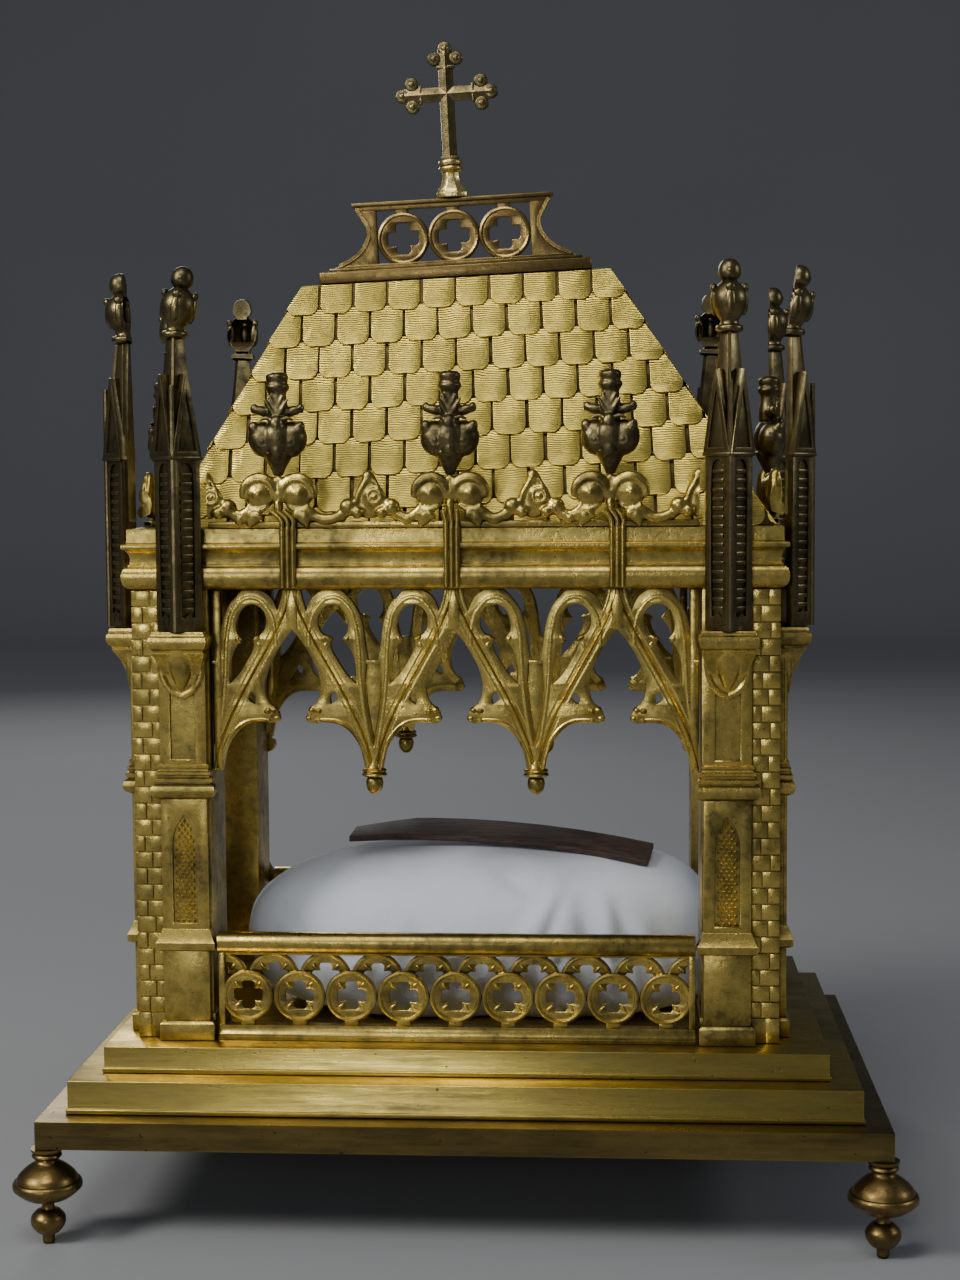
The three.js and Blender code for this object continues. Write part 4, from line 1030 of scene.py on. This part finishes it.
curled_leaves = leaf_pair()
between_leaf = three_leaf()
rib = turned(flowing([(1.25, 308.4), (1.3, 330), (1.3, 337)], 2), 12)
for face, frame_matrix, half_width, arches, ends in FACES:
    half = half_width - PIER - 0.4
    leaves = [along_face(node, frame_matrix) for node in finial_nodes(face, arches)]
    soft = []
    crisp = [eased(block(-half, half, -1.9, 2.3, CREST_Z, 339.6), 0.5)]
    for index in range(arches + 1):
        x = (index - arches / 2) * ARCH_PITCH
        soft.append(copied(between_leaf, Matrix.Translation((x, 0, 0))))
        for arch, side in ((index - 1, -1), (index, 1)):
            if 0 <= arch < arches:
                first = x + side * 12
                last = leaves[arch] - side * 15
                centre = (first + last) / 2
                swag = [(first, 344), (first + side * 4.4, 341.4), (centre, 340.6),
                        (last - side * 3.6, 341.6), (last, 345)]
                soft.append(rope(swag, 2.9, -1.4, 0.8))
                soft.append(rope([(first, 340.4), (centre, 340), (last, 341)], 1.9, 0.4, 0.8))
    for index, leaf_x in enumerate(leaves):
        soft.append(copied(curled_leaves, Matrix.Translation((leaf_x, 0, 0))))
        tip = (index - (arches - 1) / 2) * ARCH_PITCH
        crisp.append(eased(block(tip - 4, tip + 4, -4.7, -3.9, 308.4, CREST_Z), 0.3))
        for step in (-1, 0, 1):
            crisp.append(copied(rib, Matrix.Translation((tip + step * 2.6, -4.5, 0))))
            foot = [(tip + step * 2.6, 336.6), (tip + step * 2.8, 340), (leaf_x + step * 3.2, 345)]
            crisp.append(rope(foot, 1.25, -4.0, 1.0))
        crisp.append(eased(block(leaf_x - 1.9, leaf_x + 1.9, -1.6, 1.8, 345, 361), 0.4))
    carved = fused(joined(soft), 0.75)
    piece = joined([carved, *crisp])
    cut_back(piece, (half, 0, 0), (1, 0, 0))
    cut_back(piece, (-half, 0, 0), (-1, 0, 0))
    settled([piece], frame_matrix, gilt_brass, "gilt_brass", f"cresting_{face}", angle=50)
for piece in (curled_leaves, between_leaf, rib):
    bpy.data.objects.remove(piece)

# ---- finials --------------------------------------------------------------------------------------
# Dark bronze buds screwed into the cresting over each arch: a lobed bulb, two leaves spread at its
# neck, and a flared knob with a ring. They are much darker than the leafwork under them.

finial_parts = [
    turned(flowing([(2.2, 361.4), (3.2, 364), (5.4, 368), (7.4, 372)]), 20),
    oval(0, -1.6, 379, 7.6, 7.2, 9.6, rings=12),
    oval(0, -5.4, 385.4, 3.4, 2.8, 4.4),
    oval(0, -6.4, 374.4, 3.2, 2.0, 5.2),
    oval(0, 2.4, 379, 7.4, 5.4, 9),
    turned(flowing([(5.0, 388), (5.2, 393), (4.4, 398), (4.3, 401.4)]), 20),
    turned(flowing([
        (4.4, 401), (5.7, 402.6), (5.8, 404), (4.9, 405.2), (5.4, 407.4), (5.2, 409), (3.4, 410.3)]), 20),
]
for side in (-1, 1):
    finial_parts += [
        oval(side * 6.9, -0.6, 378.6, 7.2, 6.6, 8.6, side * 10, rings=12),
        hoop(side * 6.6, -6.4, 377.6, 2.5, 0.75, 18, 6),
        oval(side * 6.6, -6.6, 377.6, 1.2, 1.0, 1.2, rings=6),
        oval(side * 10.6, -3.6, 383.6, 2.8, 2.6, 3.8, side * 24, rings=8),
        oval(side * 7.2, -0.8, 392, 5.2, 3.0, 2.5, -side * 14, rings=8),
        oval(side * 11, -0.6, 393.2, 1.9, 2.2, 2.5, rings=8),
        rope([(side * 5.4, 397.6), (side * 3, 393), (0, 387.6)], 1.1, -4.6, 0.6),
        rope([(side * 3.4, 399.6), (side * 1.8, 396), (0, 392)], 0.9, -4.2, 0.7),
        rope([(side * 8.4, 387.4), (side * 4.6, 388.6), (0, 385)], 1.1, -5.6, 0.6),
    ]
bud = fused(joined(finial_parts), 0.62, 2)
for face, frame_matrix, half_width, arches, ends in FACES:
    for node in finial_nodes(face, arches):
        turn = Matrix.Rotation(math.radians(hand.uniform(-9, 9)), 4, "Z")
        stand = Matrix.Translation((along_face(node, frame_matrix), 0, 0)) @ turn
        settled([copied(bud, stand)], frame_matrix, dark_bronze, "dark_bronze", node, angle=60)
bpy.data.objects.remove(bud)

# ---- roof -----------------------------------------------------------------------------------------
# A hipped lid of pale gilt sheet, one casting with eight courses of tiles in relief. Each tile is cut
# with fine wavy lines and has rounded lower corners. It has been set back slightly askew.

ROOF_LEAN = math.radians(2.6)
ROOF_FOOT = (149.0, 76.0)
ROOF_TOP = (76.7, 7.5)
ROOF_HEIGHT = 132.3
COURSE_COUNT = 8
TILE_PITCH = 17.2
LINE_PITCH = 0.00112

roof_place = chapel @ Matrix.Translation((2.6, 0, 329.4)) @ Matrix.Rotation(-ROOF_LEAN, 4, "Y")

tile_skin = Finish("tile_gilding")
tile_cloud = tile_skin.noise(26, detail=5, roughness=0.6)
tile_mottle = tile_skin.noise(210, detail=4, roughness=0.65)
tile_place = tile_skin.node("SeparateXYZ", {}, {"Vector": tile_skin.coords()}, out=2)
ripple = tile_skin.noise(95, detail=2, roughness=0.5, stretch=(1, 1, 0.5)) - 0.5
line_height = (tile_place + ripple * 0.0034) * (2 * math.pi / LINE_PITCH)
lines = line_height.sine() * 0.5 + 0.5
tile_hollow = tile_skin.hollow(0.0035)
tile_edge = tile_skin.edge(0.0007)
# Tile dullness from clouds and the wavy lines, lessened along the edges as a painted highlight.
tile_dull_and_painted_highlight = (tile_cloud.between(0.40, 0.68) * 0.5 + tile_mottle.between(0.45, 0.7) * 0.35
             + lines.between(0.55, 0.05) * 0.45 - tile_edge * 0.7).clamped()
tile_body = tile_skin.blend((0.82, 0.63, 0.135, 1), (0.42, 0.325, 0.075, 1), tile_dull_and_painted_highlight)
# Painted shade: the hollows between and under the tiles are darkened.
tile_painted_shade = tile_hollow.between(0.26, 0.80)
tile_base = tile_skin.blend(tile_body, (0.07, 0.052, 0.02, 1), tile_painted_shade)
tile_bump = tile_skin.node("Bump", {}, {
    "Strength": 0.55, "Distance": 0.0005, "Height": lines * 0.55 + tile_mottle * 0.8 + tile_cloud * 1.2})
tile_rough = 0.30 + tile_dull_and_painted_highlight * 0.14 + tile_painted_shade * 0.15
pale_gilt = tile_skin.set(Base_Color=tile_base, Metallic=1.0, Roughness=tile_rough, Normal=tile_bump)

tile = plate([[(-7.95, 22, 0), (-7.95, 4.4, 0), (-6.9, 1.9), (-5.2, 0.4), (-4.0, 0.1, 0), (4.0, 0.1, 0),
               (5.2, 0.4), (6.9, 1.9), (7.95, 4.4, 0), (7.95, 22, 0)]], -1.0, 0.6, 0.3, 1)

backing = dressed("roof", 0.05, 1)
backing.data.transform(roof_place.inverted() @ MM)
sheets = []
for quarter in range(4):
    long_side = quarter % 2 == 0
    foot, top = (0, 1) if long_side else (1, 0)
    half_foot, half_top = ROOF_FOOT[foot], ROOF_TOP[foot]
    away_foot, away_top = ROOF_FOOT[top], ROOF_TOP[top]
    slope = math.atan2(away_foot - away_top, ROOF_HEIGHT)
    length = ROOF_HEIGHT / math.cos(slope)
    step = length / COURSE_COUNT
    tiles = []
    for course in range(COURSE_COUNT):
        reach = half_foot + (half_top - half_foot) * course / COURSE_COUNT + TILE_PITCH
        count = int(reach / TILE_PITCH) + 1
        shift = 0.5 if course % 2 else 0.0
        for index in range(-count, count + 1):
            x = (index + shift) * TILE_PITCH + hand.uniform(-0.35, 0.35)
            lie = Matrix.Rotation(math.radians(-3.0 + hand.uniform(-0.5, 0.5)), 4, "X")
            skew = Matrix.Rotation(math.radians(hand.uniform(-0.8, 0.8)), 4, "Y")
            tiles.append(copied(tile, Matrix.Translation((x, -1.25, course * step)) @ skew @ lie))
    sheet = joined(tiles)
    sheet.data.transform(Matrix.Translation((0, -away_foot, 0)) @ Matrix.Rotation(-slope, 4, "X"))
    for side in (-1, 1):
        hip = Vector((side * (half_top - half_foot), away_foot - away_top, ROOF_HEIGHT)).normalized()
        outward = Vector((0, -math.cos(slope), math.sin(slope)))
        hip_slope = math.atan2(half_foot - half_top, ROOF_HEIGHT)
        beside = Vector((side * math.cos(hip_slope), 0, math.sin(hip_slope)))
        mitre = hip.cross(outward + beside).normalized()
        mitre = mitre if mitre.x * side > 0 else -mitre
        cut_back(sheet, (side * half_foot, -away_foot, 0), mitre)
    cut_back(sheet, (0, -away_top, ROOF_HEIGHT - 0.6), (0, 0, 1))
    sheet.data.transform(Matrix.Rotation(quarter * math.pi / 2, 4, "Z"))
    sheets.append(sheet)
bpy.data.objects.remove(tile)
tiled = joined(sheets)
tiled.data.transform(roof_place)
cut_back(tiled, (0, 0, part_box("roof")[0].z), (0, 0, -1))
tiled.data.transform(roof_place.inverted())

# The sheet behind the tiles shows only in their joints, and it is coloured dark as painted shade there.
painted_joint_shade = metal(
    "painted_joint_shade", (0.20, 0.145, 0.05), (0.060, 0.044, 0.020), (0.018, 0.013, 0.008), 0.62, 0.42)
tiled.data.materials.append(pale_gilt)
backing.data.materials.clear()
backing.data.materials.append(painted_joint_shade)
settled([tiled, backing], roof_place, None, "pale_gilt", "roof", angle=25)

# ---- ridge crest and cross ------------------------------------------------------------------------
# A flat slab closes the lid. On it stands a pierced crest of three dished rings between two swept
# brackets, riveted through its foot, and a turned pedestal that carries a budded cross.

SLAB_TOP = ROOF_HEIGHT + 0.3 + 5.8
CREST_FOOT = SLAB_TOP + 0.3
CREST_RING = 13.4
CREST_DISH = 12.6
CREST_RING_Z = CREST_FOOT + CREST_RING + 1.6
CREST_TOP = CREST_FOOT + 2 * CREST_RING + 7.2

settled([dressed("ridge_slab", 0.6)], MM, worn_brass, "worn_brass", "ridge_slab")

crest_dish = plate([around(0, 0, CREST_DISH, 0, 330, 12), four_lobes(0, 0, 7.9, 0.62)], -1.1, 1.1, 0.35)
crest_parts = [
    eased(block(-64.6, 64.6, -3, 3, CREST_FOOT, CREST_FOOT + 1.8), 0.4),
    eased(block(-60, 60, -2.2, 2.2, CREST_FOOT + 1.6, CREST_FOOT + 3), 0.4),
    eased(block(-51.4, 51.4, -3, 3, CREST_TOP - 1.9, CREST_TOP), 0.5),
    eased(block(-49.8, 49.8, -2.2, 2.2, CREST_TOP - 4.2, CREST_TOP - 1.7), 0.4),
]
for index in (-1, 0, 1):
    x = index * (2 * CREST_RING - 0.8)
    hole = dished(copied(crest_dish, Matrix()), CREST_DISH, 1.2)
    hole.data.transform(Matrix.Translation((x, -0.7, CREST_RING_Z)))
    crest_parts.append(hole)
    crest_parts += [hoop(x, -0.9, CREST_RING_Z, 12.1, 1.25), hoop(x, 0.9, CREST_RING_Z, 12.1, 1.1)]
    crest_parts.append(eased(block(x - 3.2, x + 3.2, -1.6, 1.6, CREST_RING_Z + 11.6, CREST_TOP - 3), 0.4))
    crest_parts.append(eased(block(x - 4, x + 4, -1.6, 1.6, CREST_FOOT + 1, CREST_FOOT + 3.6), 0.4))
bracket = [
    (39.2, CREST_FOOT + 1, 0), (39.2, CREST_TOP - 3, 0), (49, CREST_TOP - 3, 0), (46.6, CREST_TOP - 7),
    (43.4, CREST_TOP - 14), (46, CREST_TOP - 22), (52, CREST_TOP - 27.6), (59.2, CREST_TOP - 31),
    (63.6, CREST_FOOT + 1.4, 0)]
bracket_rim = bracket[2:8]
rim_section = [(-0.9, -2.6), (-0.9, 2.6), (0.9, 2.6), (0.9, -2.6)]
for outline, rim in ((mirrored(bracket), mirrored(bracket_rim)), (bracket, bracket_rim)):
    crest_parts.append(plate([outline], -1.9, 1.9, 0.4))
    crest_parts.append(swept(rim, rim_section, 0))
bpy.data.objects.remove(crest_dish)
settled(crest_parts, roof_place, worn_brass, "worn_brass", "ridge_crest")

pedestal_parts = [
    eased(drawn_up([(8.3, 5.2, 0), (8.4, 5.3, 0.5), (8.4, 5.3, 2.4), (7.6, 4.8, 3.2), (7.4, 4.7, 4.4),
                    (5.4, 4.0, 6.6), (4.6, 3.7, 9.6), (4.5, 3.7, 12.8)], 8), 0.3),
    turned(flowing([(4.2, 12.4), (5.6, 13.2), (6.2, 14.4), (5.5, 15.6), (4.6, 16)]), 24),
    turned(flowing([(4.6, 15.8), (5.9, 16.4), (6.1, 17.4), (5.8, 18.4)], 2), 24),
]
bright_cap = metal(
    "pedestal_gilding", (0.95, 0.74, 0.28), (0.50, 0.38, 0.13), (0.08, 0.055, 0.025), 0.34, 0.22)
lift = Matrix.Translation((0, 0, CREST_TOP + 0.3))
settled([copied(joined(pedestal_parts), lift)], roof_place, bright_cap, "pale_gilt", "cross_pedestal")
bpy.data.objects.remove(pedestal_parts[0])

CROSS_FOOT = CREST_TOP + 0.3 + 18.6 + 0.3
CROSS_CENTRE = CROSS_FOOT + 33
LIMB = [(-3.7, 0), (-3.5, 1.0), (-2.2, 1.3), (0, 2.2), (2.2, 1.3), (3.5, 1.0), (3.7, 0), (3.5, -1.0),
        (-3.5, -1.0)]
limb = swept([(0, 0), (0, 22.4)], LIMB, 0)
lobes = []
for x, z in ((0, 22.6), (5.6, 17.6), (-5.6, 17.6)):
    lobes.append(eased(plate([around(x, z, 3.4, 0, 315, 8)], -1.7, 1.7, 0.6), 0.2))
    lobes.append(oval(x, -1.5, z, 1.7, 0.9, 1.7, rings=7))
    lobes.append(oval(x, 1.5, z, 1.7, 0.7, 1.7, rings=7))
collar_bar = eased(block(-4.6, 4.6, -1.9, 1.9, 12.6, 14), 0.3)
arm = joined([limb, *lobes, collar_bar])
cross_parts = []
for turn in (-90, 0, 90):
    stand = Matrix.Translation((0, 0, CROSS_CENTRE)) @ Matrix.Rotation(math.radians(turn), 4, "Y")
    cross_parts.append(copied(arm, stand))
cross_parts.append(swept([(0, CROSS_FOOT), (0, CROSS_CENTRE)], LIMB, 0))
cross_parts.append(eased(block(-4.4, 4.4, -2.1, 2.1, CROSS_FOOT, CROSS_FOOT + 1.8), 0.3))
bpy.data.objects.remove(arm)
settled(cross_parts, roof_place, dark_bronze, "dark_bronze", "cross")

# ---- cushion --------------------------------------------------------------------------------------
# A plain white cotton pillow, stuffed tight and sewn round its edge, filling the floor of the chapel.
# It gathers in small folds where it is pressed down behind the front balustrade.

# In metres, apart from the fold's foot and the seam's depth in millimetres, and FOLD_DEPTH, a factor.
WIDEST = 0.036
MOST_SWELL = 0.008
FOLD_DEPTH = 1.6
FOLD_FOOT = 24
FOLD_REACH = 0.03
SEAM_HEIGHT = 0.034
SEAM_WIDTH = 0.0022
SEAM_DEPTH = 1.1
BULGE = (0.003, 0.009, 0.0)
CROWN = 0.001

cushion_low, cushion_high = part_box("cushion")
cushion_middle = (cushion_low + cushion_high) / 2
cushion = bpy.data.objects.new("pillow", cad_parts["cushion"].data.copy())
bpy.context.collection.objects.link(cushion)
smaller = Matrix.Translation(cushion_middle) @ Matrix.Diagonal((0.955, 0.94, 0.95, 1))
cushion.data.transform(smaller @ Matrix.Translation(-cushion_middle))
widest = cushion_low.z + WIDEST
for vertex in cushion.data.vertices:
    below = max(0.0, min(0.93, (widest - vertex.co.z) / (widest - cushion_low.z)))
    fuller = min(1.32, 1.05 / (1 - below * below) ** 0.24) if below > 0 else 1.05
    vertex.co.y = cushion_middle.y + (vertex.co.y - cushion_middle.y) * fuller
    vertex.co.x = cushion_middle.x + (vertex.co.x - cushion_middle.x) * (1 + (fuller - 1) * 0.35)
skin = cushion.modifiers.new("skin", "REMESH")
skin.mode = "VOXEL"
skin.voxel_size = 0.0045
soft = cushion.modifiers.new("soft", "SMOOTH")
soft.factor = 0.6
soft.iterations = 12
applied(cushion)
before = [vertex.co.copy() for vertex in cushion.data.vertices]
cloth = cushion.modifiers.new("stuffing", "CLOTH")
cloth.settings.quality = 5
cloth.settings.mass = 0.25
cloth.settings.use_pressure = True
cloth.settings.uniform_pressure_force = 4
cloth.settings.tension_stiffness = 12
cloth.settings.compression_stiffness = 6
cloth.settings.bending_stiffness = 0.6
cloth.settings.effector_weights.gravity = 0
cloth.collision_settings.use_collision = False
for step in range(1, 21):
    bpy.context.scene.frame_set(step)
applied(cushion)
bpy.context.scene.frame_set(1)
for vertex, start in zip(cushion.data.vertices, before):
    moved = vertex.co - start
    if moved.length > MOST_SWELL:
        vertex.co = start + moved.normalized() * MOST_SWELL
finer = cushion.modifiers.new("finer", "SUBSURF")
finer.levels = 1
finer.render_levels = 1
applied(cushion)

# Folds: x of the foot, lean of the fold, length, width and rise, in millimetres.
FOLDS = [
    (-86, -0.35, 30, 4.5, 1.3), (-70, -0.2, 22, 3.5, 1.0), (-40, 0.15, 34, 5.5, 1.2),
    (-12, 0.3, 26, 4.0, 1.0), (14, 0.55, 42, 5.0, 1.8), (25, 0.35, 50, 4.2, 2.0), (36, 0.2, 38, 3.8, 1.6),
    (46, 0.0, 46, 5.0, 2.0), (57, -0.25, 34, 4.0, 1.6), (68, -0.1, 44, 4.6, 1.8), (80, -0.4, 36, 4.2, 1.6),
    (95, -0.5, 30, 4.8, 1.3), (4, 0.8, 24, 3.4, 1.0), (-55, 0.4, 20, 3.6, 0.9)]
seam_z = cushion_low.z + SEAM_HEIGHT
cushion.data.update()
normals = [vertex.normal.copy() for vertex in cushion.data.vertices]
for vertex, normal in zip(cushion.data.vertices, normals):
    place = vertex.co
    height = (place.z - cushion_low.z) * 1000 - FOLD_FOOT
    push = 0.0
    for side in (-1, 1):
        facing = max(0.0, min(1.0, side * (place.y - cushion_middle.y) / FOLD_REACH))
        for foot, lean, length, width, rise in FOLDS:
            along = height / length
            if facing and -0.5 < along < 1:
                across = (cushion_middle.x - place.x) * 1000 * side - foot - lean * height
                ridge = math.exp(-(across / width) ** 2)
                valley = math.exp(-((across - 1.5 * width) / width) ** 2)
                fade = math.sin(math.pi * (along + 0.5) / 1.5)
                push += FOLD_DEPTH * facing * rise * (ridge - 0.55 * valley) * fade
    push -= SEAM_DEPTH * math.exp(-((place.z - seam_z) / SEAM_WIDTH) ** 2)
    vertex.co = place + normal * push * 0.001
for vertex in cushion.data.vertices:
    vertex.co.z = max(vertex.co.z, cushion_low.z)
    for axis, bulge in enumerate(BULGE):
        inside = max(vertex.co[axis], cushion_low[axis] - bulge)
        vertex.co[axis] = min(inside, cushion_high[axis] + bulge + CROWN)

# The slat presses its own bed: nothing of the pillow stands above its underside within its outline.
SLAT_PLACE = (middle.x + 0.018, -0.004, 0.1752)
SLAT_HALF = 0.078
SLAT_HALF_WIDTH = 0.0135
SLAT_BOW = 0.0056
SLAT_TURN = math.radians(-8)
BED_SIDE = 0.010
BED_END = 0.012
BED_RISE = 0.006

lie = Matrix.Translation(SLAT_PLACE) @ Matrix.Rotation(SLAT_TURN, 4, "Z")
lie = lie @ Matrix.Rotation(math.radians(1.6), 4, "Y") @ Matrix.Rotation(math.radians(11), 4, "X")
to_slat = lie.inverted()
for vertex in cushion.data.vertices:
    local = to_slat @ vertex.co
    across = max(0.0, abs(local.y) - SLAT_HALF_WIDTH) / BED_SIDE
    beyond = max(0.0, abs(local.x) - SLAT_HALF) / BED_END
    away = math.hypot(across, beyond)
    if away < 1:
        underside = -SLAT_BOW * (local.x / SLAT_HALF) ** 2 - 0.0006
        ceiling = underside + BED_RISE * away * away
        if ceiling < local.z < 0.03:
            local.z = ceiling
            vertex.co = lie @ local

THREAD_PITCH = 0.0009
cotton = Finish("white_cotton")
folded = cotton.noise(36, detail=4, roughness=0.55)
thread_x, thread_y, thread_z = (
    cotton.node("SeparateXYZ", {}, {"Vector": cotton.coords()}, out=axis) for axis in range(3))
threads = 2 * math.pi / THREAD_PITCH
warp = (thread_x * threads).sine()
weft = ((thread_y + thread_z) * threads).sine()
fibre = cotton.noise(900, detail=3, roughness=0.7)
crease = cotton.noise(60, detail=3, roughness=0.5, stretch=(1, 1, 0.35))
greying = (folded * 0.8 + fibre * 0.3 - 0.1).clamped()
white = cotton.blend((0.80, 0.85, 0.93, 1), (0.66, 0.71, 0.82, 1), greying)
soiled = cotton.blend(white, (0.60, 0.60, 0.58, 1), cotton.noise(18, detail=3).between(0.60, 0.78) * 0.3)
weave_bump = cotton.node("Bump", {}, {
    "Strength": 0.35, "Distance": 0.0008, "Height": warp * 0.10 + weft * 0.10 + fibre * 0.25 + crease * 1.6})
white_cotton = cotton.set(
    Base_Color=soiled, Roughness=0.9, Normal=weave_bump, Sheen_Weight=0.25, Sheen_Roughness=0.5)
cushion.name = "dressed_cushion"
cushion.data.name = "dressed_cushion"
cushion.data.materials.clear()
cushion.data.materials.append(white_cotton)
alone(cushion)
bpy.ops.object.shade_smooth()
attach(cushion, "root")
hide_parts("cushion")

# ---- relic slat -----------------------------------------------------------------------------------
# A thin slat of old dark wood, bowed with age, that lies loose across the crown of the pillow. Its
# grain runs along it, its edges are worn pale and one end has been split narrower.

wood = Finish("dark_wood")
grain_place = wood.coords(stretch=(9, 160, 160), turn=(0, 0, -SLAT_TURN))
grain_lines = wood.node("TexNoise", {}, {"Vector": grain_place, "Scale": 4, "Detail": 5, "Roughness": 0.7})
blotch = wood.noise(60, detail=4)
wood_edge = wood.edge(0.001)
tone = wood.blend((0.030, 0.017, 0.014, 1), (0.11, 0.062, 0.045, 1), grain_lines.between(0.35, 0.7))
dust = (blotch.between(0.5, 0.75) * 0.4 + wood_edge * 0.6).clamped()
dusty = wood.blend(tone, (0.16, 0.11, 0.085, 1), dust)
wood_bump = wood.node("Bump", {}, {"Strength": 0.6, "Distance": 0.0006, "Height": grain_lines * 1.2 + blotch})
dark_wood = wood.set(Base_Color=dusty, Roughness=0.55 + blotch * 0.25, Normal=wood_bump)
settled([dressed("relic_slat", 0.5)], MM, dark_wood, "dark_wood", "relic_slat")
